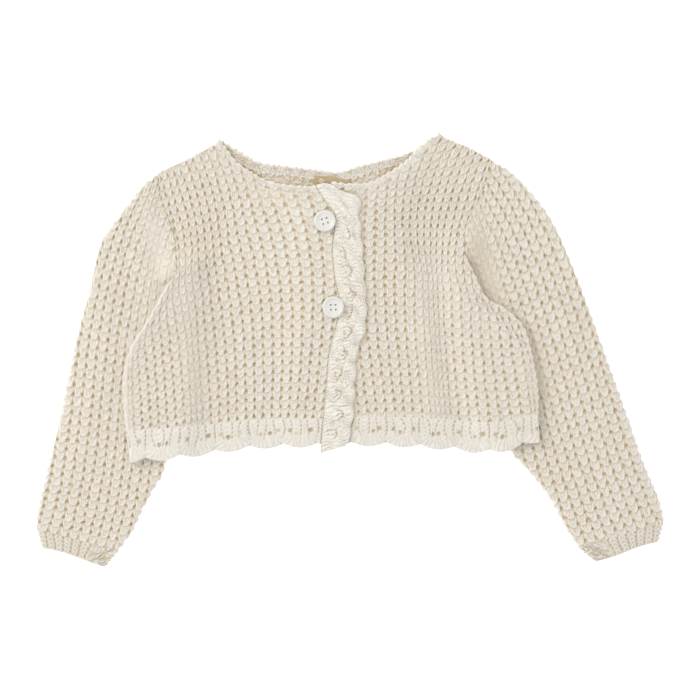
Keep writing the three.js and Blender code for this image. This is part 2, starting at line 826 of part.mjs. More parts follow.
/** Solid of a closed geometry whose axis is Y, turned so that the axis is Z. */
function solidOf(geometry) {
  geometry.rotateX(Math.PI / 2);
  geometry.deleteAttribute("normal");
  geometry.deleteAttribute("uv");
  const merged = mergeVertices(geometry, 1e-3);
  return new wasm.Manifold(
    new wasm.Mesh({
      numProp: 3,
      vertProperties: merged.attributes.position.array,
      triVerts: new Uint32Array(merged.index.array),
    }),
  );
}

/** Geometry of a solid. */
function geometryOf(solid) {
  const { vertProperties, triVerts } = solid.getMesh();
  const geometry = new THREE.BufferGeometry();
  geometry.setAttribute("position", new THREE.BufferAttribute(vertProperties, 3));
  geometry.setIndex(new THREE.BufferAttribute(triVerts, 1));
  geometry.computeVertexNormals();
  return geometry;
}

function buttonGeometry() {
  const { radius, rim, thickness, dish, hole, spread } = BUTTON;
  const profile = [
    [0, 0],
    [radius - 0.9, 0],
    [radius, 0.8],
    [radius, thickness - 0.6],
    [radius - 0.5, thickness],
    [radius - rim, thickness - 0.1],
    [radius - rim - 0.6, thickness - dish],
    [0, thickness - dish - 0.1],
  ].map(([r, z]) => new THREE.Vector2(r, z));
  // The axis of a lathe is Y, and a quarter turn about X brings it to Z.
  const disc = solidOf(new THREE.LatheGeometry(profile, 24));
  return geometryOf(
    even(4)
      .slice(1)
      .reduce((body, turn) => {
        const drill = new THREE.CylinderGeometry(hole, hole, 4 * thickness, 8);
        const angle = 2 * Math.PI * turn;
        drill.translate(spread * Math.cos(angle), 0, spread * Math.sin(angle));
        return body.subtract(solidOf(drill));
      }, disc),
  );
}

// ---- Assembly ----------------------------------------------------------------------------------

const knitMaterial = () =>
  new THREE.MeshStandardMaterial({ color: 0xe8decb, roughness: 0.95, metalness: 0 });
const buttonMaterial = () =>
  new THREE.MeshStandardMaterial({ color: 0xf1efea, roughness: 0.35, metalness: 0 });
const tapeMaterial = () =>
  new THREE.MeshStandardMaterial({ color: 0xd9bf94, roughness: 0.8, metalness: 0 });

const shrug = new THREE.Group();
shrug.name = "knit_shrug";

/** Adds one named piece to the garment. */
function sew(name, geometry, material = knitMaterial()) {
  const mesh = new THREE.Mesh(geometry, material);
  mesh.name = name;
  shrug.add(mesh);
  return mesh;
}

sew("back", backPanel());
sew("front_right", rightFront());
sew("front_left", leftFront());
sew("sleeve_right", sleeve(RIGHT));
sew("sleeve_left", sleeve(LEFT));
sew("cuff_right", cuff(RIGHT));
sew("cuff_left", cuff(LEFT));
sew("neckband_back", neckband({ ...BACK_NECK, under: () => 0, columns: BACK_COLUMNS }));
sew(
  "neckband_front_right",
  neckband({
    seam: besideLace(RIGHT_NECK.seam),
    edge: besideLace(RIGHT_NECK.edge),
    under: rightUnder,
    columns: FRONT_COLUMNS * 2,
  }),
);
sew("neckband_front_left", neckband({ ...LEFT_NECK, under: frontUnder, columns: FRONT_COLUMNS * 2 }));
sew("front_band_right", laceBand());
sew("front_band_left", underBand());
sew(
  "hem_back",
  hemEdging({
    from: hemEnds.right,
    to: hemEnds.left,
    under: tuckLift,
    ribbed: () => false,
    perScallop: 5,
  }),
);
sew(
  "hem_front_right",
  hemEdging({
    from: hemEnds.right,
    to: hemEnds.rightOpening,
    under: rightUnder,
    ribbed: () => true,
  }),
);
sew(
  "hem_front_left",
  hemEdging({
    from: hemEnds.leftOpening,
    to: hemEnds.left,
    under: frontUnder,
    ribbed: (x) => x > 8,
  }),
);

for (const { name, x, y, turn } of BUTTON_PLACES) {
  const button = sew(name, buttonGeometry(), buttonMaterial());
  button.position.set(x, y, laceUnder(x, y) + WALL + LACE_RIB.height + GAP / 3);
  button.rotation.z = turn + Math.PI / 4;
}

const tape = sew(
  "neck_tape",
  new THREE.BoxGeometry(TAPE.width, TAPE.height, TAPE.thickness),
  tapeMaterial(),
);
tape.position.set(TAPE.x, TAPE.bottom + TAPE.height / 2, LAYER + TAPE.thickness / 2);

export default shrug;
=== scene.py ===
"""A small child's knit shrug, lying flat on its back, dressed over its solid model.

Every knitted piece is a thin closed shell that follows its solid, with its stitches, ribs and
eyelets raised in the mesh. Lengths are in millimetres until a mesh is made, and then in metres.
"""

from __future__ import annotations

import logging
import math
from collections.abc import Callable, Sequence
from dataclasses import dataclass, field, replace
from enum import Enum

import bmesh
import bpy
import numpy as np
from mathutils import Matrix, Vector

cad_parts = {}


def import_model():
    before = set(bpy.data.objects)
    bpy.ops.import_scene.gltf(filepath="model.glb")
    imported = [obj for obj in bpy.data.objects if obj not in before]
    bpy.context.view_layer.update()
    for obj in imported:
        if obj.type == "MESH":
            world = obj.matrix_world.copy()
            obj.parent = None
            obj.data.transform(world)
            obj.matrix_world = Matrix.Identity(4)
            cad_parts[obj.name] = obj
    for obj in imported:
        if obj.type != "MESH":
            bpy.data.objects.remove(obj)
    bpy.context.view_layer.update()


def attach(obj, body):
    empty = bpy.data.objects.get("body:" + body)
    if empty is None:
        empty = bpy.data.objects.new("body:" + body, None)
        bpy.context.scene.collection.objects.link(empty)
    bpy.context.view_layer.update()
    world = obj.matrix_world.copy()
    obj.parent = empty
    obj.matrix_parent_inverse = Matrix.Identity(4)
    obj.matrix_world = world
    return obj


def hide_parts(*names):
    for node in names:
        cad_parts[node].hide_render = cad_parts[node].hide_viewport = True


LOG = logging.getLogger("knit_shrug")
MM = 0.001
ROOT = "root"

Array = np.ndarray
Point = tuple[float, float]
Plan = Callable[[Array, Array], tuple[Array, Array]]
Height = Callable[[Array, Array], Array]
Mesh = bpy.types.Mesh
Material = bpy.types.Material
Object = bpy.types.Object
Socket = bpy.types.NodeSocket
BMesh = bmesh.types.BMesh

# ---- Cloth and layers ----
WALL = 2.6  # thickness of the knit
GAP = 0.3  # clearance at seams and between layers
LAYER = WALL + GAP
SEAM_SHIFT = 0.4  # the body's armhole edge stands off the sleeve's by this much in X
FINE = 0.46  # spacing of the points of a face that shows
TRIM_FINE = 0.42  # the same on edgings
BACK_TRIM = 1.3  # the same on the back's edging, which is hidden
COARSE = 6.0  # spacing of the points of a hidden face
LINE_POINTS = 120  # points of a line in plan
NOTHING = 1e-9  # keeps a division by a length of zero harmless
SAME_PLACE = 1e-6  # points closer than this, in metres, are merged


# ---- Plan curves and patches ----


def smooth_path(points: Sequence[Point], samples: int = 40) -> Array:
    """Dense points of the smooth curve through a few.

    Args:
        points: Points in plan.
        samples: Points made for each stretch between two given ones.

    Returns:
        An array of plan points along the curve.
    """
    given = np.array(points, float)
    padded = np.vstack([given[:1], given, given[-1:]])
    share = np.linspace(0, 1, samples, endpoint=False)[:, None]
    parts = []
    for before, start, end, after in zip(padded, padded[1:], padded[2:], padded[3:]):
        leave, arrive = (end - before) / 2, (after - start) / 2
        cubic = (2 * start - 2 * end + leave + arrive) * share**3
        square = (-3 * start + 3 * end - 2 * leave - arrive) * share**2
        parts.append(cubic + square + leave * share + start)
    return np.vstack([*parts, given[-1:]])


@dataclass(frozen=True)
class Curve:
    """A plan curve that is read by its share of its own length."""

    path: Array

    @classmethod
    def through(cls, points: Sequence[Point]) -> Curve:
        """The smooth curve through some points."""
        return cls(smooth_path(points))

    @classmethod
    def straight(cls, start: Point, end: Point) -> Curve:
        """The straight line between two points."""
        return cls(np.array([start, end], float))

    def at(self, share: Array) -> Array:
        """Plan points at some shares, from 0 to 1, of the curve's length."""
        steps = np.hypot(*np.diff(self.path, axis=0).T)
        length = np.concatenate([[0], np.cumsum(steps)])
        want = np.clip(share, 0, 1) * length[-1]
        return np.stack([np.interp(want, length, self.path[:, k]) for k in (0, 1)], -1)

    def reversed(self) -> Curve:
        """The same curve from its other end."""
        return Curve(self.path[::-1])

    def beside(self, distance: float) -> Curve:
        """The same curve moved to its own left."""
        along = np.gradient(self.path, axis=0)
        along /= np.linalg.norm(along, axis=1, keepdims=True) + NOTHING
        return Curve(self.path + np.stack([-along[:, 1], along[:, 0]], 1) * distance)

    def start_x(self) -> float:
        """X of the curve's first point."""
        return float(self.path[0, 0])


def joined(first: Curve, second: Curve, share: float) -> Curve:
    """Two curves end to end, the first of which takes a given share of the whole."""
    even = np.linspace(0, 1, 2 * LINE_POINTS)
    lower, upper = first.at(even), second.at(even)
    return Spans(np.vstack([lower, upper[1:]]), lower=lower, upper=upper, share=share)


@dataclass(frozen=True)
class Spans(Curve):
    """Two curves end to end, each read evenly over its own share."""

    lower: Array
    upper: Array
    share: float

    def at(self, share: Array) -> Array:
        """Plan points at some shares, from 0 to 1."""
        want = np.clip(share, 0, 1)
        low = Curve(self.lower).at(want / self.share)
        high = Curve(self.upper).at((want - self.share) / (1 - self.share))
        return np.where((want <= self.share)[..., None], low, high)


def table(points: Sequence[Point]) -> Callable[[Array], Array]:
    """Smooth value of a table's second column as a function of its first.

    Args:
        points: Rows of the table.

    Returns:
        The function, which holds its end values outside the table.
    """
    rows = np.array(sorted(points), float)
    key, value = rows[:, 0], rows[:, 1]
    last = len(key) - 1
    before = np.maximum(np.arange(last + 1) - 1, 0)
    after = np.minimum(np.arange(last + 1) + 1, last)
    slope = (value[after] - value[before]) / (key[after] - key[before])

    def read(at: Array) -> Array:
        """The table's value at some keys."""
        at = np.asarray(at, float)
        i = np.clip(np.searchsorted(key, at, side="right") - 1, 0, last - 1)
        width = key[i + 1] - key[i]
        t = np.clip((at - key[i]) / width, 0, 1)
        bend = (2 * t - 3) * t * t
        ends = value[i] * (1 + bend) - value[i + 1] * bend
        leave = slope[i] * width * t * (1 - t) ** 2
        return ends + leave - slope[i + 1] * width * t * t * (1 - t)

    return read


def x_by_y(points: Sequence[Point]) -> Callable[[Array], Array]:
    """X of a line through some points as a function of Y."""
    return table([(y, x) for x, y in points])


@dataclass(frozen=True)
class Patch:
    """A plan patch between four curves that share their corners."""

    bottom: Curve
    top: Curve
    left: Curve
    right: Curve

    def at(self, across: Array, along: Array) -> tuple[Array, Array]:
        """X and Y of a grid of points, in rows along and columns across."""
        u, v = across[None, :, None], along[:, None, None]
        low, high = self.bottom.at(across)[None], self.top.at(across)[None]
        left, right = self.left.at(along)[:, None], self.right.at(along)[:, None]
        low_ends = self.bottom.at(np.array([0.0, 1.0]))
        high_ends = self.top.at(np.array([0.0, 1.0]))
        corners = (1 - u) * (1 - v) * low_ends[0] + u * (1 - v) * low_ends[1]
        corners = corners + (1 - u) * v * high_ends[0] + u * v * high_ends[1]
        place = (1 - v) * low + v * high + (1 - u) * left + u * right - corners
        return place[..., 0], place[..., 1]


@dataclass(frozen=True)
class Strips:
    """Plan patches side by side, each of which takes a share of the whole."""

    patches: tuple[Patch, ...]
    shares: tuple[float, ...]

    def at(self, across: Array, along: Array) -> tuple[Array, Array]:
        """X and Y of a grid of points, in rows along and columns across."""
        starts = np.concatenate([[0.0], np.cumsum(self.shares)])
        which = np.clip(np.searchsorted(starts, across, side="right") - 1, 0, len(self.patches) - 1)
        x = np.zeros((len(along), len(across)))
        y = np.zeros_like(x)
        for n, patch in enumerate(self.patches):
            mine = which == n
            if mine.any():
                x[:, mine], y[:, mine] = patch.at((across[mine] - starts[n]) / self.shares[n], along)
        return x, y


# ---- The garment's plan ----


@dataclass(frozen=True)
class Side:
    """Outlines of one side of the garment, in plan."""

    inward: int
    outer: tuple[Point, ...]
    inner: tuple[Point, ...]
    armhole: tuple[Point, ...]
    side: tuple[Point, ...]
    princess: tuple[Point, ...]
    shoulder: tuple[Point, ...]
    cuff_end: tuple[Point, ...]

    @property
    def underarm(self) -> float:
        """Y of the underarm."""
        return self.side[-1][1]

    def inner_x(self, y: Array) -> Array:
        """X of the sleeve's inner edge at a height."""
        return x_by_y(self.inner)(y)

    def outer_x(self, y: Array) -> Array:
        """X of the sleeve's outer edge at a height."""
        return x_by_y(self.outer)(y)

    def outside(self, x: Array, y: Array) -> Array:
        """Distance from the body's edge, which is the armhole above the underarm."""
        edge = x_by_y((*self.side, *self.armhole[1:]))
        slope = edge(y + 0.5) - edge(y - 0.5)
        return self.inward * (edge(y) - x) / np.hypot(1, slope)

    def shifted(self, points: Sequence[Point]) -> list[Point]:
        """Points moved off the sleeve by the clearance of the armhole seam."""
        return [(x + self.inward * SEAM_SHIFT, y) for x, y in points]


RIGHT = Side(
    inward=1,
    outer=(
        (-115.5, 105.5), (-121.5, 101.5), (-131.5, 90), (-145, 72), (-151, 60), (-156.5, 36),
        (-164.4, 6), (-169.4, -18), (-174.4, -42), (-186, -90), (-188.2, -107),
    ),
    inner=(
        (-102, 36), (-101.5, 6), (-104, -30), (-111, -70), (-118, -84), (-124.5, -96),
        (-130, -108), (-138.5, -120),
    ),
    armhole=((-103.3, 46), (-105, 66), (-109, 79), (-113, 90), (-115.5, 105.5)),
    side=(
        (-134, -48), (-135.5, -32), (-135.5, -15), (-131, 2), (-124, 13), (-116.5, 26),
        (-110, 38), (-103.3, 46),
    ),
    princess=((-76, -43.4), (-74, 20), (-76, 80), (-81.5, 122.8)),
    shoulder=((-115.5, 105.5), (-106, 110), (-97, 114), (-90, 118), (-81.5, 122.8)),
    cuff_end=((-185, -118.5), (-172, -121.4), (-157, -126.8), (-147, -130.3)),
)
LEFT = Side(
    inward=-1,
    outer=(
        (85, 113.5), (95, 108), (107.5, 96), (121, 78), (132, 54), (141.4, 30), (154.5, -6),
        (167.4, -42), (175.6, -66), (185.5, -90), (188.2, -103),
    ),
    inner=(
        (70, 38), (77, 0), (87, -36), (96.5, -60.5), (105.5, -71), (118.3, -87), (129.6, -107),
        (137, -118.5),
    ),
    armhole=((69, 57), (68.5, 69.5), (72, 81.5), (79, 94), (85, 113.5)),
    side=(
        (112.3, -38), (112.5, -28), (110.5, -12), (104.5, 12), (93.5, 24), (81, 32), (75, 44),
        (69, 57),
    ),
    princess=((58, -41.3), (46, 5), (40, 45), (44, 88), (57, 126.5)),
    shoulder=((85, 113.5), (74, 119.5), (65, 123.5), (57, 126.5)),
    cuff_end=((185.2, -115), (173.5, -118), (159, -123.6), (147, -127)),
)


@dataclass(frozen=True)
class NeckEdge:
    """A neckband in plan, from the wearer's right to the left."""

    edge: tuple[Point, ...]
    seam: tuple[Point, ...]


BACK_NECK = NeckEdge(
    edge=(
        (-78.3, 126.8), (-66, 119.5), (-54, 113), (-36, 110.5), (-18, 108.3), (-7, 107.2),
        (6, 111), (24, 115.4), (37, 119.8), (53, 130.3),
    ),
    seam=(
        (-81.5, 122.8), (-69, 114.5), (-56, 107.8), (-36, 105), (-18, 103), (-7, 102),
        (6, 105.6), (25, 110.8), (39, 115.8), (57, 126.5),
    ),
)
RIGHT_NECK = NeckEdge(
    edge=(
        (-78.3, 126.8), (-71.5, 117.5), (-66, 111.5), (-51.5, 102.5), (-40, 99.3), (-26, 98),
        (-20.5, 98.5),
    ),
    seam=(
        (-81.5, 122.8), (-75.5, 114), (-69.5, 108), (-53.5, 97.8), (-41, 94.3), (-26, 93),
        (-17.7, 93.2),
    ),
)
LEFT_NECK = NeckEdge(
    edge=(
        (-11.5, 101), (0, 99.8), (11, 100.6), (18, 103.6), (28, 109.6), (35, 115),
        (41.5, 122), (53, 130.3),
    ),
    seam=(
        (-11.5, 96), (0, 94.8), (11.5, 95), (20, 97.2), (28.5, 102), (42.5, 112.5),
        (49.5, 120), (57, 126.5),
    ),
)
# X, then Y of the hem's seam and of the line that its scallops hang from.
HEM_SEAM = (
    (-136, -48.2), (-100, -46), (-60, -42), (-20, -41), (20, -40), (60, -41.5), (85, -43),
    (114, -38),
)
HEM_EDGE = (
    (-136, -65.5), (-100, -62.5), (-60, -57.4), (-20, -55.8), (20, -55.5), (60, -57.8),
    (85, -59.5), (114, -52.5),
)
SCALLOP_PITCH = 20.5
SCALLOP_DEPTH = 2.6
SCALLOP_START = 1.0
# Y, then X of the front opening and the width of the lace band.
OPENING_SEAM = (
    (98.5, -20.5), (92, -17), (81, -9.2), (60, -10.6), (41, -8.8), (29, -6.2), (12, -8.8),
    (-1, -12.4), (-20, -14), (-41, -16), (-58, -17.6),
)
LACE_WIDTH = (
    (98.5, 13), (92, 22), (81, 14.7), (60, 18.2), (41, 17.6), (29, 16), (12, 17.8),
    (-1, 16.8), (-20, 17), (-41, 17.6), (-58, 15.6),
)
LACE_TOP = (98.7, 92.6)  # Y at the seam and at the free edge
LACE_BOTTOM = (-61.8, -57.4)
UNDER_BAND_FOOT = -18.5
UNDER_BAND_BOW = 3.0
UNDER_BAND_WIDTH = 14.0
UNDERARM_SHARE = 9 / 14
TAPE_X = -11.0
TAPE_Y = 96.6
TAPE_WIDTH = 21.0
TAPE_HEIGHT = 7.6

hem_seam_y = table(HEM_SEAM)
hem_edge_y = table(HEM_EDGE)
opening_x = table(OPENING_SEAM)
lace_width = table(LACE_WIDTH)
left_neck_y = table(LEFT_NECK.seam)
back_neck_y = table(BACK_NECK.seam)
right_rim_y = table(RIGHT_NECK.edge)
left_rim_y = table(LEFT_NECK.edge)


def fall(distance: Array, reach: float) -> Array:
    """1 up to zero distance, 0 past the reach, and smooth between them."""
    return (1 + np.cos(np.pi * np.clip(distance / reach, 0, 1))) / 2


def beside_line(x: Array, y: Array, start: Point, end: Point) -> tuple[Array, Array]:
    """Where places lie by a line between two points.

    Args:
        x: First coordinates of the places.
        y: Second coordinates.
        start: Where the line starts.
        end: Where it ends.

    Returns:
        The share of the line that each place is beside, and its distance from there.
    """
    dx, dy = end[0] - start[0], end[1] - start[1]
    px, py = x - start[0], y - start[1]
    share = np.clip((px * dx + py * dy) / (dx * dx + dy * dy + NOTHING), 0, 1)
    return share, np.hypot(px - dx * share, py - dy * share)


@dataclass(frozen=True)
class Crease:
    """A soft ridge, or a trough where its height is negative, between two points in plan."""

    start: Point
    end: Point
    height: float
    width: float

    def share(self, x: Array, y: Array) -> Array:
        """1 along the crease, fading to 0 beside it."""
        _, away = beside_line(x, y, self.start, self.end)
        return np.exp(-((away / self.width) ** 2))


def lift(creases: Sequence[Crease], x: Array, y: Array) -> Array:
    """Height that some creases add at a place."""
    total = np.zeros_like(x)
    for crease in creases:
        total = total + crease.height * crease.share(x, y)
    return total


# The ridges that the solids carry as well.
BODY_FOLDS = (
    Crease((-96, 40), (-62, 8), 1.1, 7),
    Crease((-84, 30), (-80, -30), 0.9, 6),
    Crease((28, 62), (46, 8), 1.6, 9),
    Crease((46, 8), (58, -34), 1.6, 9),
    Crease((-46, 70), (-34, 0), 0.7, 10),
)


class Drape:
    """Heights of the lower faces of the layers, as the garment lies."""

    TUCK_PLATEAU = 4  # the body stays fully raised this far past a sleeve's inner edge
    TUCK_SLOPE, TUCK_FADE = 20, 22  # it comes down over these, across and above the underarm
    TAPE_FADE = 12  # the fronts come down round the neck tape over this distance
    LAP_MIDDLE, LAP_HALF_WIDTH = 8, 14  # the strip beside the opening where the fronts lap
    LAP_FADE = 16  # the folds grow to their full height over this distance beside it
    PLACKET_PLATEAU = 15  # the right front lies level over the under band for this width
    PLACKET_SLOPE = 18
    LACE_SETTLES = 0.4  # how far the lace sinks along its free edge
    LACE_SLOPE = 4
    PUFF = 1.2  # how much fuller a sleeve is on its outer part
    PUFF_SHARE = 0.5  # share of the sleeve's width that is fuller
    PUFF_TOP, PUFF_FOOT = 60, -100  # Y between which it is fuller
    PUFF_FADE = 30
    CLIMB = 0.98  # share of the body's rise that a sleeve takes on at the armhole
    CLIMB_FOOT = 4  # how far above the underarm that starts
    CLIMB_REACH, CLIMB_FADE = 15, 14  # it comes down over these, across and up

    @classmethod
    def tuck(cls, x: Array, y: Array) -> Array:
        """Height of the body where it climbs over the sleeves that are tucked under it."""
        lifts = []
        for side in (RIGHT, LEFT):
            past = side.inward * (x - side.inner_x(y)) - cls.TUCK_PLATEAU
            lifts.append(fall(past, cls.TUCK_SLOPE) * fall(y - side.underarm - 1, cls.TUCK_FADE))
        return 2 * LAYER * np.maximum(*lifts)

    @classmethod
    def tape(cls, x: Array, y: Array) -> Array:
        """Clearance that the neck tape needs under the fronts."""
        beside = fall(np.abs(x - TAPE_X) - TAPE_WIDTH / 2, cls.TAPE_FADE)
        return beside * fall(TAPE_Y - y, cls.TAPE_FADE)

    @classmethod
    def front(cls, x: Array, y: Array) -> Array:
        """Lower face of the fronts, pressed flat where they lap."""
        from_strip = np.abs(x - opening_x(y) - cls.LAP_MIDDLE) - cls.LAP_HALF_WIDTH
        folds = lift(BODY_FOLDS, x, y) * (1 - fall(from_strip, cls.LAP_FADE))
        return LAYER + cls.tuck(x, y) + folds + cls.tape(x, y)

    @classmethod
    def right_front(cls, x: Array, y: Array) -> Array:
        """Lower face of the right front, which climbs onto the under band."""
        from_band = opening_x(y) - cls.PLACKET_PLATEAU - x
        return cls.front(x, y) + LAYER * fall(from_band, cls.PLACKET_SLOPE)

    @classmethod
    def lace(cls, x: Array, y: Array) -> Array:
        """Lower face of the lace band, which settles a little along its free edge."""
        from_edge = opening_x(y) + lace_width(y) - x - 1
        return cls.front(x, y) + LAYER - cls.LACE_SETTLES * fall(from_edge, cls.LACE_SLOPE)

    @classmethod
    def puff(cls, side: Side, x: Array, y: Array) -> Array:
        """Height added to the open outer half of a sleeve, and where it climbs to the armhole."""
        outer = side.outer_x(y)
        across = (x - outer) / (side.inner_x(y) - outer)
        t = np.clip(across / cls.PUFF_SHARE, 0, 1)
        ends = (1 - fall(cls.PUFF_TOP - y, cls.PUFF_FADE)) * (1 - fall(y - cls.PUFF_FOOT, cls.PUFF_FADE))
        beside = cls.CLIMB * fall(side.outside(x, y), cls.CLIMB_REACH)
        climb = beside * fall(side.underarm + cls.CLIMB_FOOT - y, cls.CLIMB_FADE)
        return cls.PUFF * ends * (1 - np.cos(2 * np.pi * t)) / 2 + climb * cls.tuck(x, y)


class BodyPlan:
    """Plan patches of the body, shared by the back and the fronts that lie on it."""

    def __init__(self) -> None:
        """Works out the edges that the pieces share."""
        self.princess = {side.inward: self.princess_line(side) for side in (RIGHT, LEFT)}
        self.edge = {side.inward: self.side_edge(side) for side in (RIGHT, LEFT)}
        left_shoulder = self.shoulder(LEFT).reversed()
        self.right_side = self.panel(self.edge[1], self.princess[1], self.shoulder(RIGHT))
        self.left_side = self.panel(self.princess[-1], self.edge[-1], left_shoulder)

    @classmethod
    def panel(cls, left: Curve, right: Curve, top: Curve) -> Patch:
        """A patch that starts at the hem seam."""
        bottom = cls.along(hem_seam_y, left.start_x(), right.start_x())
        return Patch(left=left, right=right, bottom=bottom, top=top)

    @staticmethod
    def along(line: Callable[[Array], Array], start: float, end: float) -> Curve:
        """A line that gives Y from X, between two of its X values."""
        x = np.linspace(start, end, LINE_POINTS)
        return Curve(np.stack([x, line(x)], 1))

    @staticmethod
    def side_edge(side: Side) -> Curve:
        """Edge of the body from the hem seam past the underarm to the shoulder tip."""
        lower = list(side.side)
        lower[0] = (lower[0][0], float(hem_seam_y(lower[0][0])))
        lower[-1] = side.shifted(lower[-1:])[0]
        upper = Curve.through(side.shifted(side.armhole))
        return joined(Curve.through(lower), upper, UNDERARM_SHARE)

    @staticmethod
    def princess_line(side: Side) -> Curve:
        """Line from the hem seam to the neck where the raised side ends."""
        foot = side.princess[0][0]
        return Curve.through([(foot, float(hem_seam_y(foot))), *side.princess[1:]])

    @staticmethod
    def shoulder(side: Side) -> Curve:
        """Shoulder from its tip to the neck."""
        return Curve.through([*side.shifted(side.shoulder[:1]), *side.shoulder[1:]])

    @staticmethod
    def lace_seam() -> Curve:
        """Edge of the right front where the lace band is sewn on."""
        rows = [(x, y) for y, x in OPENING_SEAM if -41 < y < 93]
        rows.append((float(opening_x(hem_seam_y(-16))), float(hem_seam_y(-16))))
        rows.append(RIGHT_NECK.seam[-1])
        return Curve.through([(x - GAP, y) for x, y in sorted(rows, key=lambda row: row[1])])

    @staticmethod
    def under_band_edge(across: float) -> Curve:
        """An edge of the under band, at a distance from its free edge."""
        t = np.linspace(0, 1, LINE_POINTS)
        foot, top = UNDER_BAND_FOOT + across, LEFT_NECK.seam[0][0] + across
        low, high = float(hem_seam_y(foot)), float(left_neck_y(top))
        x = foot + (top - foot) * t + UNDER_BAND_BOW * np.sin(np.pi * t)
        return Curve(np.stack([x, low + (high - low) * t], 1))

    def back(self) -> Strips:
        """Plan of the back."""
        neck = Curve.through(BACK_NECK.seam)
        middle = self.panel(self.princess[1], self.princess[-1], neck)
        return Strips((self.right_side, middle, self.left_side), (0.22, 0.56, 0.22))

    def right_front(self) -> Strips:
        """Plan of the right front."""
        seam = self.lace_seam()
        end_x = float(seam.path[-1, 0])
        neck = Curve.through([*RIGHT_NECK.seam[:-1], (end_x, RIGHT_NECK.seam[-1][1])])
        middle = self.panel(self.princess[1], seam, neck)
        return Strips((self.right_side, middle), (0.46, 0.54))

    def left_front(self) -> Strips:
        """Plan of the left front."""
        start = self.under_band_edge(UNDER_BAND_WIDTH + GAP)
        neck = self.along(left_neck_y, float(start.path[-1, 0]), LEFT.princess[-1][0])
        middle = self.panel(start, self.princess[-1], neck)
        return Strips((middle, self.left_side), (0.52, 0.48))

    def under_band(self) -> Patch:
        """Plan of the band along the left front's edge."""
        free, sewn = self.under_band_edge(0), self.under_band_edge(UNDER_BAND_WIDTH)
        neck = self.along(left_neck_y, float(free.path[-1, 0]), float(sewn.path[-1, 0]))
        return self.panel(free, sewn, neck)


# ---- Stitches ----
HOLLOW_FLOOR = 0.7  # share of a hollow's size at which its wall starts to rise
HOLLOW_WALL = 0.6  # and how far its wall goes on
HOLLOW_FROM = 0.1  # depth under the cloth's face at which a hollow's painted shade starts
SHUT_SWELL = 0.08  # how much a strand swells where the hollows are drawn shut
REVERSE_WIDTH = 9.0
REVERSE_HEIGHT = 7.6


@dataclass(frozen=True)
class Bead:
    """A point on a strand of yarn inside one stitch.

    Distances across and up are shares of the stitch, from the middle of its column and from its
    row line. The crest is measured from the cloth's face, and the radius is the strand's.
    """

    across: float
    up: float
    crest: float
    radius: float


Strand = tuple[Bead, ...]


@dataclass(frozen=True)
class Face:
    """What a knit does at the places of a grid."""

    height: Array  # from the cloth's face
    hollow_shade: Array  # painted shade: 0 on the yarn to 1 deep in a hollow
    columns: Array
    rows: Array


@dataclass(frozen=True)
class Hollow:
    """The gap between the stitches of a knit, as shares of a column and a row."""

    depth: float
    half_width: float
    half_height: float
    plug: tuple[Bead, Bead] | None = None  # yarn seen inside it, measured from its middle


@dataclass(frozen=True)
class Stitch:
    """One repeat of a knit, drawn as strands of yarn over a sunken ground."""

    width: float
    height: float
    strands: tuple[Strand, ...]
    ground: float
    gap: Hollow

    def face(self, s: Array, t: Array, openness: Array) -> Face:
        """Shape of the knit's face.

        Args:
            s: Columns counted across; hollows lie at whole numbers.
            t: Rows counted upwards; hollows lie at whole numbers.
            openness: 0 where the hollows are drawn shut, 1 where they are wide open.

        Returns:
            The face at each place.
        """
        aside, level = s - np.round(s), t - np.round(t)
        across, up = 0.5 - np.abs(aside), t - np.floor(t)
        gap = self.gap
        away = np.hypot(aside / gap.half_width, level / gap.half_height)
        open_here = fall(away - HOLLOW_FLOOR, HOLLOW_WALL) * openness
        face = -(self.ground + (gap.depth - self.ground) * open_here)
        swell = 1 + SHUT_SWELL * (1 - openness)
        for strand in self.strands:
            for low, high in zip(strand, strand[1:]):
                for turn in (-1.0, 0.0, 1.0):
                    face = np.maximum(face, self._capsule(low, high, across, up + turn, swell))
        if gap.plug:
            face = np.maximum(face, self._capsule(*gap.plug, aside, level, swell))
        # painted shade, deeper as the face sinks into a hollow
        inside = np.clip((-HOLLOW_FROM - face) / (gap.depth - HOLLOW_FROM), 0, 1)
        return Face(face, inside, s, t)

    def _capsule(self, low: Bead, high: Bead, across: Array, up: Array, swell: Array) -> Array:
        """Height of a strand between two of its beads, and far below the cloth beside it."""
        ends = [(bead.across * self.width, bead.up * self.height) for bead in (low, high)]
        t, away = beside_line(across * self.width, up * self.height, *ends)
        radius = (low.radius + (high.radius - low.radius) * t) * swell
        crest = low.crest + (high.crest - low.crest) * t
        rise = np.sqrt(np.maximum(radius**2 - away**2, 0))
        return np.where(away < radius, crest - radius + rise, -9.0)


def arch(radius: float, crest: float) -> Strand:
    """One of the nested loops of yarn that curl round the foot of a stitch on the reverse."""
    foot, thickness = 0.14, 0.5
    beads = []
    for angle in np.radians((90, 55, 20, -15, -50)):
        across = radius * math.cos(angle) / REVERSE_WIDTH
        up = foot + radius * math.sin(angle) / REVERSE_HEIGHT
        beads.append(Bead(across, up, crest, thickness))
    return tuple(beads)


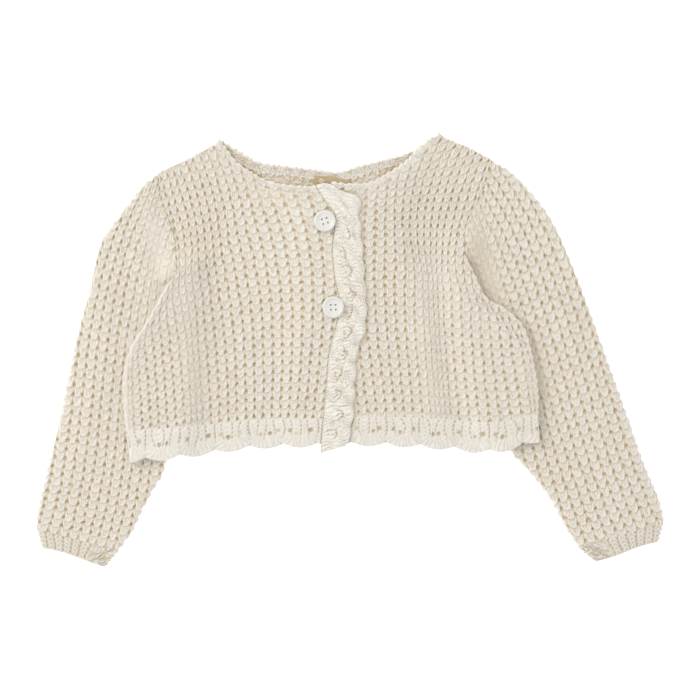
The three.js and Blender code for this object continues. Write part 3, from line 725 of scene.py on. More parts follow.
class Knit(Enum):
    """The knits of the garment."""

    WAFFLE = Stitch(
        width=6.3,
        height=5.1,
        strands=(
            (
                Bead(0.0, -0.2, 0.14, 0.56),
                Bead(0.11, -0.19, 0.2, 0.58),
                Bead(0.195, -0.12, 0.26, 0.6),
                Bead(0.245, 0.01, 0.28, 0.62),
                Bead(0.265, 0.16, 0.26, 0.62),
                Bead(0.3, 0.31, 0.18, 0.6),
                Bead(0.325, 0.45, 0.1, 0.57),
                Bead(0.335, 0.6, 0.02, 0.55),
                Bead(0.33, 0.75, -0.3, 0.5),
            ),
            (
                Bead(0.04, -0.05, -0.08, 0.42),
                Bead(0.115, 0.07, -0.06, 0.44),
                Bead(0.07, 0.22, -0.02, 0.46),
                Bead(0.115, 0.36, -0.06, 0.48),
                Bead(0.1, 0.52, -0.2, 0.46),
            ),
        ),
        ground=0.55,
        gap=Hollow(1.7, 0.15, 0.2, (Bead(-0.06, -0.12, -0.75, 0.42), Bead(0.04, -0.06, -0.95, 0.4))),
    )
    RIB = Stitch(
        width=4.2,
        height=2.7,
        strands=(
            (
                Bead(0.0, -0.1, 0.0, 0.6),
                Bead(0.13, 0.15, 0.15, 0.66),
                Bead(0.26, 0.6, 0.1, 0.66),
                Bead(0.38, 1.0, -0.15, 0.55),
            ),
        ),
        ground=0.45,
        gap=Hollow(0.85, 0.08, 1.0),
    )
    REVERSE = Stitch(
        width=REVERSE_WIDTH,
        height=REVERSE_HEIGHT,
        strands=(arch(4.0, 0.1), arch(2.75, 0.25), arch(1.5, 0.35), arch(0.4, 0.3)),
        ground=0.6,
        gap=Hollow(1.1, 0.07, 0.16),
    )

    def face(self, s: Array, t: Array, openness: Array | float = 1.0) -> Face:
        """Shape of this knit's face where its columns and rows are counted."""
        return self.value.face(s, t, openness + 0 * s)


@dataclass(frozen=True)
class Run:
    """A smooth count of stitches over a panel.

    It is a polynomial about the panel's middle, in units of 50 mm: the count there, what each
    unit of X and Y adds, and how the columns or rows fan and bow.
    """

    start: float
    x: float
    y: float
    xx: float = 0.0
    xy: float = 0.0
    yy: float = 0.0
    xxx: float = 0.0
    xxy: float = 0.0
    xyy: float = 0.0
    yyy: float = 0.0

    def at(self, u: Array, v: Array) -> Array:
        """The count at a place, in units from the panel's middle."""
        straight = self.start + self.x * u + self.y * v
        bowed = self.xx * u * u + self.xy * u * v + self.yy * v * v
        twisted = self.xxx * u**3 + self.xxy * u * u * v + self.xyy * u * v * v + self.yyy * v**3
        return straight + bowed + twisted


@dataclass(frozen=True)
class Wander:
    """Slow uneven drift, as the hand and the wash leave it, made of seeded waves."""

    seed: int
    length: float  # typical length of a wave
    waves: int = 7

    def at(self, x: Array, y: Array) -> Array:
        """A value of about -1 to 1 at a place."""
        draw = np.random.default_rng(self.seed)
        total = np.zeros_like(np.asarray(x, float))
        for _ in range(self.waves):
            heading = draw.uniform(0, 2 * math.pi)
            number = 2 * math.pi / (self.length * draw.uniform(0.6, 1.6))
            phase = draw.uniform(0, 2 * math.pi)
            total += np.sin((x * math.cos(heading) + y * math.sin(heading)) * number + phase)
        return total / math.sqrt(self.waves)


@dataclass(frozen=True)
class Pleat:
    """A line between two points in plan, across which more columns are drawn together."""

    low: Point
    high: Point
    columns: int
    width: float

    def extra(self, x: Array, y: Array) -> Array:
        """Columns added at a place: none on the line's left, and all of them on its right."""
        dx, dy = self.high[0] - self.low[0], self.high[1] - self.low[1]
        size = math.hypot(dx, dy)
        along = ((x - self.low[0]) * dx + (y - self.low[1]) * dy) / size
        past = np.maximum(np.maximum(-along, along - size), 0)
        aside = ((x - self.low[0]) * dy - (y - self.low[1]) * dx) / size
        width = self.width * (1 + past / 12)
        return self.columns * (1 - fall(aside + width / 2, width))


@dataclass(frozen=True)
class WaffleField:
    """How the waffle knit runs over a panel."""

    UNIT = 50  # length in which the counts' terms are given
    DRIFT = 0.05  # how far a stitch strays over a long way, as a share of it
    JITTER = 0.035  # and over a short way
    CALM = 0.65  # how much flatter the knit is in a fold

    middle: Point  # where the counts' terms start from
    columns: Run
    rows: Run
    shut: tuple[Crease, ...] = ()  # places where the hollows are drawn shut
    pleats: tuple[Pleat, ...] = ()
    tucked: tuple[Crease, ...] = ()  # places in a fold, where the knit is smoother and painted shade is added
    shade: float = 0.17  # how much painted shade, in the hollows' colour, shows in them
    seed: int = 1

    def counts(self, x: Array, y: Array) -> tuple[Array, Array]:
        """Columns and rows counted at a place."""
        u, v = (x - self.middle[0]) / self.UNIT, (y - self.middle[1]) / self.UNIT
        s = self.columns.at(u, v) + self.DRIFT * Wander(self.seed, 9).at(x, y)
        t = self.rows.at(u, v) + self.DRIFT * Wander(self.seed + 1, 9).at(x, y)
        for pleat in self.pleats:
            s = s + pleat.extra(x, y)
        s = s + self.JITTER * Wander(self.seed + 3, 4.5).at(x, y)
        t = t + self.JITTER * Wander(self.seed + 4, 4.5).at(x, y)
        return s, t

    def face(self, x: Array, y: Array) -> Face:
        """Shape of the knit's face."""
        openness = 0.86 + 0.14 * Wander(self.seed + 2, 14).at(x, y) - lift(self.shut, x, y)
        knit = Knit.WAFFLE.face(*self.counts(x, y), np.clip(openness, 0, 1))
        calm = np.clip(lift(self.tucked, x, y), 0, 1)
        # painted shade in the folds
        hollow_shade = knit.hollow_shade * (1 - 0.5 * calm) + self.shade * calm
        return replace(knit, height=knit.height * (1 - self.CALM * calm), hollow_shade=hollow_shade)


RIGHT_FRONT_KNIT = WaffleField(
    middle=(-60, 30),
    columns=Run(-5.05, 8.2, 1.0, -0.5, -0.9, 0.6, 0.2, -0.5, 0.1, 0.1),
    rows=Run(-2.7, -1.3, 9.3, 1.3, 0.2, 0.0, 0.0, 0.0, 0.3, 0.1),
    shut=(
        Crease((-100, 55), (-92, -44), 0.75, 8),
        Crease((-128, 8), (-133, -50), 0.8, 5),
        Crease((-112, 100), (-80, 116), 0.4, 7),
        Crease((-80, 112), (-50, 93), 0.5, 8),
        Crease((-50, 93), (-26, 88), 0.4, 6),
        Crease((-120, 12), (-100, 40), 0.6, 10),
    ),
    pleats=(
        Pleat((-92, -44), (-94, 8), 1, 11),
        Pleat((-132, -48), (-132, -12), 1, 7),
        Pleat((-128, 2), (-106, 38), 1, 9),
    ),
    tucked=(Crease((-93, 4), (-91, -30), 0.45, 5),),
    seed=11,
)
LEFT_FRONT_KNIT = WaffleField(
    middle=(50, 30),
    columns=Run(5.0, 9.0, 0.0, 0.3, -0.25, -0.7, -0.4, 0.5, -0.1, -0.2),
    rows=Run(-4.35, 0.85, 9.35, 0.25, -0.45, 0.0, -0.75, 0.0, -0.45, 0.1),
    shut=(
        Crease((44, 50), (54, -44), 0.85, 9),
        Crease((60, 45), (80, 20), 0.6, 12),
        Crease((108, 0), (110, -44), 0.8, 5),
        Crease((16, 92), (50, 114), 0.5, 10),
        Crease((56, 116), (78, 102), 0.45, 9),
    ),
    pleats=(
        Pleat((55, -44), (49, 46), 2, 17),
        Pleat((109, -38), (108, -14), 1, 6),
        Pleat((103, 6), (80, 28), 1, 8),
    ),
    seed=21,
)
RIGHT_SLEEVE_KNIT = WaffleField(
    middle=(-150, 0),
    columns=Run(0.2, 8.8, -1.05, -0.1, 0.7, -0.5, -0.45, -0.35, 0.2, -0.25),
    rows=Run(4.85, 1.8, 8.3, 1.35, 0.45, -0.3, -0.95, 0.75, 0.35, 0.0),
    shut=(
        Crease((-118, 90), (-114, 50), 0.95, 11),
        Crease((-114, 50), (-124, 22), 0.8, 8),
        Crease((-190, -108), (-138, -120), 0.9, 3),
    ),
    pleats=(Pleat((-118, 45), (-117, 92), 1, 11),),
    tucked=(
        Crease((-103.3, 46), (-116.5, 26), 0.9, 1.8),
        Crease((-116.5, 26), (-131, 2), 0.9, 1.8),
        Crease((-132, 8), (-139, -40), 0.5, 4),
        Crease((-118, 74), (-111, 44), 0.6, 6),
    ),
    shade=0.0,
    seed=31,
)
LEFT_SLEEVE_KNIT = WaffleField(
    middle=(130, 0),
    columns=Run(0.05, 8.15, 2.4, -0.2, -0.1, 0.15, -0.4, -0.5, -0.4, 0.05),
    rows=Run(7.55, -3.5, 7.75, 0.7, -0.4, -0.35, 0.3, 1.1, 0.1, -0.05),
    shut=(
        Crease((76, 82), (84, 34), 0.95, 9),
        Crease((88, 108), (110, 92), 0.4, 5),
        Crease((190, -104), (137, -119), 0.9, 3),
    ),
    pleats=(Pleat((84, 34), (76, 84), 1, 12),),
    tucked=(
        Crease((73, 84), (77, 60), 0.6, 6),
        Crease((77, 60), (86, 38), 1.0, 6),
        Crease((71, 54), (81, 32), 0.9, 2),
        Crease((81, 32), (104, 14), 1.0, 4),
        Crease((110, 8), (118, -30), 0.7, 4),
    ),
    seed=41,
)


# ---- Finishes ----

Colour = tuple[float, float, float]


@dataclass(frozen=True)
class NodeBench:
    """A material's node tree, with short calls to lay nodes on it."""

    tree: bpy.types.NodeTree

    def add(self, kind: str, **settings: object) -> bpy.types.Node:
        """A new node with some of its properties set."""
        node = self.tree.nodes.new(kind)
        for name, value in settings.items():
            setattr(node, name, value)
        return node

    def fill(self, node: bpy.types.Node, values: dict[str | int, object]) -> None:
        """Gives inputs of a node what feeds them: another node's output, a number or a colour."""
        for name, value in values.items():
            if isinstance(value, Socket):
                self.tree.links.new(value, node.inputs[name])
            else:
                constant = (*value, 1.0) if isinstance(value, tuple) else value
                node.inputs[name].default_value = constant

    def place(self) -> Socket:
        """Where a point lies on its object."""
        return self.add("ShaderNodeTexCoord").outputs["Object"]

    def split(self, vector: Socket) -> tuple[Socket, Socket]:
        """X and Y of a vector."""
        node = self.add("ShaderNodeSeparateXYZ")
        self.fill(node, {0: vector})
        return node.outputs["X"], node.outputs["Y"]

    def math(self, operation: str, first: object, second: object = 0.0) -> Socket:
        """The result of a Math node."""
        node = self.add("ShaderNodeMath", operation=operation)
        self.fill(node, {0: first, 1: second})
        return node.outputs[0]

    def noise(self, where: Socket, scale: float, detail: float) -> Socket:
        """The value of a Noise node."""
        node = self.add("ShaderNodeTexNoise")
        self.fill(node, {"Vector": where, "Scale": scale, "Detail": detail})
        return node.outputs["Fac"]

    def mix(self, share: object, first: object, second: object) -> Socket:
        """A blend of two colours."""
        node = self.add("ShaderNodeMix", data_type="RGBA")
        self.fill(node, {"Factor": share, 6: first, 7: second})
        return node.outputs[2]

    def spread(self, value: Socket, low: float, high: float) -> Socket:
        """A value mapped from a range to 0 to 1, and held there."""
        node = self.add("ShaderNodeMapRange", clamp=True)
        self.fill(node, {"Value": value, "From Min": low, "From Max": high})
        return node.outputs["Result"]

    def bump(self, height: Socket, strength: float, distance: float) -> Socket:
        """The normal that a height gives, over a distance in metres."""
        node = self.add("ShaderNodeBump")
        self.fill(node, {"Height": height, "Strength": strength, "Distance": distance})
        return node.outputs["Normal"]


def new_material(name: str) -> tuple[Material, NodeBench, bpy.types.Node]:
    """A material with a plain shader.

    Args:
        name: Name of the material.

    Returns:
        The material, its bench and its shader node.
    """
    material = bpy.data.materials.new(name)
    material.use_nodes = True
    bench = NodeBench(material.node_tree)
    return material, bench, material.node_tree.nodes["Principled BSDF"]


@dataclass(frozen=True)
class YarnFinish:
    """Soft cream cotton yarn, with painted shade that makes it warmer and darker inside the knit's
    hollows.
    """

    name: str
    cream: Colour = (0.80, 0.755, 0.685)
    warm: Colour = (0.79, 0.725, 0.62)
    # colours of the painted shade: in shallow crevices, and deep in the hollows
    crevice_shade: Colour = (0.66, 0.575, 0.44)
    hollow_shade: Colour = (0.64, 0.515, 0.325)
    roughness: float = 0.9
    sheen: float = 0.2

    def material(self) -> Material:
        """Builds the yarn's material."""
        material, bench, shader = new_material(self.name)
        where = bench.place()
        depth = bench.add("ShaderNodeAttribute", attribute_name="hollow_shade").outputs["Fac"]
        patches = bench.spread(bench.noise(where, 26, 2), 0.35, 0.7)
        flecks = bench.spread(bench.noise(where, 420, 3), 0.3, 0.75)
        cream = bench.mix(bench.math("MULTIPLY", patches, 0.55), self.cream, self.warm)
        dull = tuple(0.9 * part for part in self.warm)
        yarn = bench.mix(bench.math("MULTIPLY", flecks, 0.3), cream, dull)
        # painted shade from the attribute: the crevice colour where shallow, then the hollow colour where
        # deep
        yarn = bench.mix(bench.spread(depth, 0.03, 0.34), yarn, self.crevice_shade)
        colour = bench.mix(bench.spread(depth, 0.34, 0.8), yarn, self.hollow_shade)
        bench.fill(shader, {"Base Color": colour, "Normal": self.fibres(bench, where)})
        bench.fill(shader, {"Roughness": self.roughness, "Specular IOR Level": 0.2})
        bench.fill(shader, {"Sheen Weight": self.sheen, "Sheen Roughness": 0.6})
        return material

    @staticmethod
    def fibres(bench: NodeBench, where: Socket) -> Socket:
        """Bump of the yarn's plies and of its loose fibres."""
        stitch = bench.add("ShaderNodeUVMap", uv_map="stitches").outputs["UV"]
        column, row = bench.split(stitch)
        arm = bench.math("PINGPONG", column, 0.5)
        slant = bench.math("MULTIPLY", arm, 16.0)
        rise = bench.math("MULTIPLY", row, 25.0)
        ply = bench.math("SINE", bench.math("ADD", slant, rise))
        fuzz = bench.noise(where, 1000, 4)
        height = bench.math("ADD", bench.math("MULTIPLY", ply, 0.2), bench.math("MULTIPLY", fuzz, 0.7))
        return bench.bump(height, 0.7, 0.0005)


@dataclass(frozen=True)
class ButtonFinish:
    """White moulded button with a soft pearly depth."""

    name: str = "button_pearl"
    light: Colour = (0.77, 0.755, 0.715)
    shade: Colour = (0.70, 0.685, 0.64)

    def material(self) -> Material:
        """Builds the button's material."""
        material, bench, shader = new_material(self.name)
        where = bench.place()
        cloud = bench.spread(bench.noise(where, 240, 3), 0.3, 0.75)
        colour = bench.mix(cloud, self.light, self.shade)
        rough = bench.add("ShaderNodeMapRange")
        bench.fill(rough, {"Value": bench.noise(where, 900, 2), "To Min": 0.28, "To Max": 0.42})
        normal = bench.bump(bench.noise(where, 1400, 2), 0.15, 0.0002)
        bench.fill(shader, {"Base Color": colour, "Normal": normal})
        bench.fill(shader, {"Roughness": rough.outputs["Result"], "Specular IOR Level": 0.5})
        bench.fill(shader, {"Coat Weight": 0.25, "Coat Roughness": 0.2})
        return material


@dataclass(frozen=True)
class TapeFinish:
    """Golden tan woven tape."""

    name: str = "tape_weave"
    light: Colour = (0.60, 0.46, 0.28)
    dark: Colour = (0.45, 0.33, 0.18)
    thread: float = 0.5  # pitch of the weave

    def material(self) -> Material:
        """Builds the tape's material."""
        material, bench, shader = new_material(self.name)
        where = bench.place()
        turn = 2 * math.pi / (self.thread * MM)
        warp, weft = [
            bench.math("SINE", bench.math("MULTIPLY", way, turn)) for way in bench.split(where)
        ]
        weave = bench.spread(bench.math("MULTIPLY", warp, weft), -1, 1)
        soft = bench.spread(bench.noise(where, 300, 3), 0.3, 0.7)
        share = bench.math("MULTIPLY", bench.math("ADD", weave, soft), 0.4)
        colour, normal = bench.mix(share, self.light, self.dark), bench.bump(weave, 0.5, 0.0002)
        bench.fill(shader, {"Base Color": colour, "Normal": normal})
        bench.fill(shader, {"Roughness": 0.8, "Sheen Weight": 0.1})
        return material


@dataclass(frozen=True)
class FloorFinish:
    """White paper floor that glows a little, so that it stays pale in the soft shadow."""

    name: str = "floor_paper"
    white: float = 0.9
    glow: float = 0.62

    def material(self) -> Material:
        """Builds the floor's material."""
        material, bench, shader = new_material(self.name)
        bench.fill(shader, {"Base Color": (self.white,) * 3, "Roughness": 0.95})
        bench.fill(shader, {"Emission Color": (1, 1, 1), "Emission Strength": self.glow})
        bench.fill(shader, {"Specular IOR Level": 0.0})
        return material


LACE_YARN = YarnFinish("lace_yarn", cream=(0.86, 0.82, 0.75), warm=(0.82, 0.765, 0.67))


@dataclass(frozen=True)
class Finishes:
    """The garment's materials, each built once."""

    knit: Material = field(default_factory=YarnFinish("knit_yarn").material)
    rib: Material = field(default_factory=YarnFinish("rib_yarn").material)
    lace: Material = field(default_factory=LACE_YARN.material)
    button: Material = field(default_factory=ButtonFinish().material)
    tape: Material = field(default_factory=TapeFinish().material)


# ---- Shells ----


def graded(length: float, fine: float, coarse: float, start: float) -> Array:
    """Shares of a length, coarse up to a share of it and fine from there on."""
    low = np.linspace(0, start, max(int(length * start / coarse), 2), endpoint=False)
    high = stops(length * (1 - start), fine)
    return np.concatenate([[0.0, 0.5 / length], low[1:], start + (1 - start) * high[2:]])


def stops(length: float, spacing: float, edge: Sequence[float] = (0.12, 0.4, 0.8)) -> Array:
    """Shares of a length at an even spacing, with closer ones at both ends."""
    inset = edge[-1]
    count = max(int(round((length - 2 * inset) / spacing)), 1)
    inner = np.linspace(inset, length - inset, count + 1)
    ends = np.array([0.0, *edge[:-1]])
    return np.concatenate([ends, inner, (length - ends)[::-1]]) / length


def round_off(distance: Array, radius: Array | float) -> Array:
    """How far a rounded edge has dropped from the face, at a distance from the edge."""
    inside = np.minimum(np.maximum(distance, 0), radius)
    return radius - np.sqrt(np.maximum(radius**2 - (radius - inside) ** 2, 0))


@dataclass(frozen=True)
class Skin:
    """Places of a shell's points, row by row round it, with what its material reads."""

    x: Array
    y: Array
    z: Array
    hollow_shade: Array
    stitches: tuple[Array, Array]
    across: Array  # share of each column
    upper: int  # how many of the columns are on the upper face, or 0 if the last row closes on the first


@dataclass(frozen=True)
class Edge:
    """How a sheet ends along one of its sides."""

    radius: float
    reach: float = 0.0  # how far it runs on to meet its neighbour
    bumps: float = 0.0  # how far each stitch stands out along it
    rolled: float = 0.0  # radius that it gains below the underarm, where its face is smooth too
    shade_tint: float = 0.0  # how much painted shade, in the hollows' colour, shows in its seam

    def roll(self, along: Array) -> Array:
        """How far the edge is rolled: fully below the underarm, and not above it."""
        return fall(along - UNDERARM_SHARE + UNDERARM_FADE, UNDERARM_FADE) * self.rolled

    def drop(self, away: Array, along: Array) -> Array:
        """How far the face has dropped at a distance from the edge."""
        return round_off(away, self.radius + self.roll(along))

    def relief(self, away: Array, along: Array) -> Array:
        """How much of the knit's relief is left at a distance from the edge."""
        soft = self.roll(along) / SMOOTH_ROLL
        return np.clip(0.35 * (1 - soft) + away / (1.2 + 3.1 * soft), 0.1, 1)


UNDERARM_FADE = 0.06  # share of a panel's height over which a rolled side begins
SMOOTH_ROLL = 2.2  # a side that is rolled this far is quite smooth
SEAM_SHADE_REACH = 1.2  # how far the painted shade of a seam shows beside it
EDGE_REACH = 3.0  # how far in the points move with the edge
SEWN = Edge(0.4, reach=0.25, shade_tint=0.35)
SIDE = Edge(0.4, reach=0.25, bumps=0.3, rolled=2.2, shade_tint=0.25)
TURNED = Edge(0.4, reach=0.25, bumps=0.4, rolled=0.8, shade_tint=0.2)
GROWN = Edge(0.2, reach=0.22)  # where one knit runs on into the next
SHOULDER = Edge(0.3, reach=0.45, bumps=0.28)
LACED = Edge(0.25, reach=0.28, shade_tint=0.3)
FREE = Edge(1.3)
RAGGED = Edge(1.3, bumps=0.45)


@dataclass(frozen=True)
class Edges:
    """A sheet's edges: at both sides, and at both ends."""

    left: Edge = SEWN
    right: Edge = SEWN
    start: Edge = SEWN
    end: Edge = SEWN

    @property
    def rules(self) -> tuple[Edge, ...]:
        """The four edges, in the order of an outline's distances."""
        return (self.left, self.right, self.start, self.end)


Relief = Callable[[Array, Array, Array, Array], Face]  # from X, Y, across and along


@dataclass(frozen=True)
class Outline:
    """A grid of plan points with its distance from each of its edges."""

    x: Array
    y: Array
    away: tuple[Array, Array, Array, Array]  # left, right, start, end

    @classmethod
    def of(cls, plan: Plan, across: Array, along: Array, face: Relief, edges: Edges) -> Outline:
        """Points of a plan, moved out at its edges.

        Args:
            plan: The plan.
            across: Shares across, for the columns.
            along: Shares along, for the rows.
            face: The knit, whose stitches stand out along the edges.
            edges: How the edges end.

        Returns:
            The outline.
        """
        x, y = plan(across, along)
        knit = face(x, y, across[None, :] + 0 * x, along[:, None] + 0 * x)
        third, ends = np.array([0.0, 0.3, 0.7, 1.0]), (0, 3)
        side_x, side_y = plan(third, along)
        end_x, end_y = plan(across, third)
        lines = [(side_x[:, [k]], side_y[:, [k]]) for k in ends] + [(end_x[k], end_y[k]) for k in ends]
        inner = [(side_x[:, [k]], side_y[:, [k]]) for k in (1, 2)] + [(end_x[k], end_y[k]) for k in (1, 2)]
        counts = (knit.rows, knit.rows, knit.columns, knit.columns)
        move_x, move_y = np.zeros_like(x), np.zeros_like(x)
        away = []
        for (lx, ly), (ix, iy), rule, count in zip(lines, inner, edges.rules, counts):
            near = np.hypot(x - lx, y - ly)
            size = np.hypot(lx - ix, ly - iy) + NOTHING
            push = (rule.reach - rule.bumps * np.cos(2 * np.pi * count)) * fall(near, EDGE_REACH)
            move_x = move_x + push * (lx - ix) / size
            move_y = move_y + push * (ly - iy) / size
            away.append(near)
        return cls(x + move_x, y + move_y, tuple(away))


def fuzz(shape: tuple[int, int], seed: int) -> Array:
    """Small uneven heights between neighbouring points, of about -1 to 1."""
    rough = np.random.default_rng(seed).normal(size=shape)
    soft = rough + 0.6 * (np.roll(rough, 1, 0) + np.roll(rough, 1, 1))
    soft[:, -1] = soft[:, 0]
    return np.clip(soft / 1.6, -1.5, 1.5)


def ring(top: Array, low: Array) -> tuple[Array, Array]:
    """Shares of the columns round a shell, over it and back below, and which lie on top."""
    on_top = np.concatenate([np.ones(len(top)), np.zeros(len(low)), [1.0]]) > 0.5
    return np.concatenate([top, low, top[:1]]), on_top


@dataclass(frozen=True)
class SheetForm:
    """A closed sheet of cloth one wall thick: its upper face is fine and its lower face coarse."""

    plan: Plan
    under: Height
    face: Relief
    width: float
    length: float
    edges: Edges = Edges()
    spacing: float = FINE
    coarse: float = COARSE
    fuzz: float = 0.06
    undercut: float = 0.25  # how far the lower face rises at the edges
    shown_from: float = 0.0  # share of the length below which the upper face is coarse too

    def skin(self) -> Skin:
        """Works out the sheet's points."""
        top = stops(self.width, self.spacing)
        low = stops(self.width, self.coarse, (0.35,))[::-1][1:-1]
        low = np.concatenate([[1 - 0.25 / self.width], low, [0.25 / self.width]])
        across, upper = ring(top, low)
        along = stops(self.length, self.spacing)
        if self.shown_from:
            along = graded(self.length, self.spacing, self.coarse, self.shown_from)
        line = Outline.of(self.plan, across, along, self.face, self.edges)
        x, y = line.x, line.y
        borders = list(zip(line.away, self.edges.rules))
        drop = np.maximum.reduce([rule.drop(away, along[:, None]) for away, rule in borders])
        near = np.minimum.reduce(line.away)
        relief = np.minimum.reduce([rule.relief(away, along[:, None]) for away, rule in borders])
        shade_tint = np.maximum.reduce([rule.shade_tint * fall(away, SEAM_SHADE_REACH) for away, rule in borders])
        knit = self.face(x, y, across[None, :] + 0 * x, along[:, None] + 0 * x)
        rough = fuzz(x.shape, len(top)) * self.fuzz
        base = self.under(x, y)
        top_z = base + WALL - drop + (knit.height + rough) * relief
        low_z = base + np.minimum(drop, self.undercut)
        z = np.where(upper[None, :], np.maximum(top_z, low_z + 0.3), low_z)
        # painted shade of the hollows, fading towards the edges, and painted shade in the seams
        hollow_shade = np.where(upper[None, :], knit.hollow_shade * np.clip(near, 0, 1) * relief, 0.0)
        return Skin(x, y, z, np.maximum(hollow_shade, shade_tint), (knit.columns, knit.rows), across, len(top))


@dataclass(frozen=True)
class TubeForm:
    """A flattened tube: the upper face is fine, and a coarse lining closes it inside."""

    plan: Plan
    puff: Height
    face: Relief
    width: float
    length: float
    covered: Height  # 1 where another layer lies on the tube
    edges: Edges = Edges(left=RAGGED, right=RAGGED)
    spacing: float = FINE
    coarse: float = COARSE
    fuzz: float = 0.05

    def skin(self) -> Skin:
        """Works out the tube's points: down its outside, and back up its lining."""
        top = stops(self.width, self.spacing, (0.2, 0.6, 1.1, 1.7))
        low = stops(self.width, self.coarse, (0.5, 1.6))[::-1][1:-1]
        across, upper = ring(top, low)
        lining = np.linspace(1, 0, max(int(self.length / self.coarse), 3))
        lining[0] -= 0.4 / self.length
        lining[-1] += 0.4 / self.length
        outside = self._face(across, upper, stops(self.length, self.spacing))
        inside = self._lining(across, upper, lining)
        rows = [np.vstack(part) for part in zip(outside, inside)]
        x, y, z, hollow_shade, s, t = [np.vstack([part, part[:1]]) for part in rows]
        return Skin(x, y, z, hollow_shade, (s, t), across, 0)

    def _face(self, across: Array, upper: Array, along: Array) -> tuple[Array, ...]:
        """Outer face of the tube."""
        half = WALL + GAP / 2
        line = Outline.of(self.plan, across, along, self.face, self.edges)
        x, y = line.x, line.y
        away = np.minimum(*line.away[:2])
        drop = round_off(away, half)
        knit = self.face(x, y, across[None, :] + 0 * x, along[:, None] + 0 * x)
        rough = fuzz(x.shape, len(across)) * self.fuzz
        height = (knit.height + rough) * np.clip(0.4 + away / 2, 0, 1)
        height = np.where(height > 0, height * (1 - self.covered(x, y)), height)
        borders = list(zip(line.away[2:], self.edges.rules[2:]))
        ends = np.maximum(*[round_off(near, rule.radius) for near, rule in borders])
        face = 2 * half + self.puff(x, y) * (1 - drop / half) - drop + height - ends
        low = np.minimum(drop, half)
        z = np.where(upper[None, :], np.maximum(face, low), low)
        # painted shade in the seams at the ends, and in the hollows
        shade_tint = np.maximum(*[rule.shade_tint * fall(near, SEAM_SHADE_REACH) for near, rule in borders])
        hollow_shade = np.maximum(knit.hollow_shade * np.clip(away / 2, 0, 1), shade_tint)
        return x, y, z, np.where(upper[None, :], hollow_shade, 0.0), knit.columns, knit.rows

    def _lining(self, across: Array, upper: Array, along: Array) -> tuple[Array, ...]:
        """Inner face of the tube, round the narrow space inside it."""
        half = WALL + GAP / 2
        side_x, side_y = self.plan(np.array([0.0, 1.0]), along)
        width = np.hypot(side_x[:, 1] - side_x[:, 0], side_y[:, 1] - side_y[:, 0])[:, None]
        x, y = self.plan(across, along)
        ratio = 1 - 2 * WALL / width
        middle_x, middle_y = side_x.mean(axis=1)[:, None], side_y.mean(axis=1)[:, None]
        x, y = middle_x + (x - middle_x) * ratio, middle_y + (y - middle_y) * ratio
        z = np.where(upper[None, :], self.puff(x, y) + 2 * half - WALL, WALL)
        pinch = np.minimum(across, 1 - across)[None, :] < 0.004
        z = np.where(pinch, half, z)
        # the lining carries painted shade all over
        return x, y, z, np.full_like(x, 0.6), x / 5, y / 5


def finished(shell: BMesh, name: str) -> Mesh:
    """Turns a bmesh into a named mesh."""
    mesh = bpy.data.meshes.new(name)
    shell.to_mesh(mesh)
    shell.free()
    return mesh


def add(name: str, data: bpy.types.ID) -> Object:
    """Puts a mesh, a lamp or a camera in the scene as an object."""
    item = bpy.data.objects.new(name, data)
    bpy.context.scene.collection.objects.link(item)
    return item


def turn_round(shell: BMesh, steps: int) -> None:
    """Turns all that a bmesh holds round the Z axis into a closed surface."""
    bmesh.ops.spin(
        shell,
        geom=[*shell.verts, *shell.edges],
        cent=(0, 0, 0),
        axis=(0, 0, 1),
        steps=steps,
        angle=2 * math.pi,
        use_merge=True,
    )
    bmesh.ops.remove_doubles(shell, verts=shell.verts, dist=SAME_PLACE)
    bmesh.ops.recalc_face_normals(shell, faces=shell.faces)


def shell_mesh(name: str, skin: Skin) -> Mesh:
    """Bends a grid into a shell and closes it.

    Args:
        name: Name of the mesh.
        skin: Places of the shell's points.

    Returns:
        A closed mesh in metres, with its stitch counts as UVs and the painted shade of its hollows as an
        attribute.
    """
    rows, columns = skin.x.shape
    shell = bmesh.new()
    bmesh.ops.create_grid(shell, x_segments=columns - 1, y_segments=rows - 1, size=1.0)
    hollow_shade = shell.verts.layers.float.new("hollow_shade")
    count_s = shell.verts.layers.float.new("count_s")
    count_t = shell.verts.layers.float.new("count_t")
    shell.verts.ensure_lookup_table()
    flat = np.array([vert.co[:2] for vert in shell.verts])
    column = np.rint((flat[:, 0] + 1) / 2 * (columns - 1)).astype(int)
    row = np.rint((flat[:, 1] + 1) / 2 * (rows - 1)).astype(int)
    places = np.stack([part[row, column] * MM for part in (skin.x, skin.y, skin.z)], 1)
    facts = np.stack([part[row, column] for part in (skin.hollow_shade, *skin.stitches)], 1)
    for vert, place, fact in zip(shell.verts, places.tolist(), facts.tolist()):
        vert.co = place
        vert[hollow_shade], vert[count_s], vert[count_t] = fact
    if skin.upper:
        for end in (0, rows - 1):
            rim = {int(column[n]): shell.verts[n] for n in np.flatnonzero(row == end)}
            close_end(shell, rim, skin.across, skin.upper)
    bmesh.ops.remove_doubles(shell, verts=shell.verts, dist=1e-7)
    bmesh.ops.recalc_face_normals(shell, faces=shell.faces)
    mesh = finished(shell, name)
    add_stitch_map(mesh)
    mesh.shade_smooth()
    return mesh


def close_end(shell: BMesh, rim: dict[int, bmesh.types.BMVert], across: Array, upper: int) -> None:
    """Closes one end of a sheet with triangles between its upper and its lower edge.

    Args:
        shell: The sheet's mesh.
        rim: Points of the end by their column.
        across: Share of each column.
        upper: How many of the columns are on the upper face.
    """
    top = list(range(upper))
    low = list(range(len(across) - 2, upper - 1, -1))
    i = j = 0
    while i < len(top) - 1 or j < len(low) - 1:
        last = j == len(low) - 1
        if last or (i < len(top) - 1 and across[top[i + 1]] <= across[low[j + 1]]):
            corners = (top[i], top[i + 1], low[j])
            i += 1
        else:
            corners = (top[i], low[j + 1], low[j])
            j += 1
        shell.faces.new([rim[corner] for corner in corners])


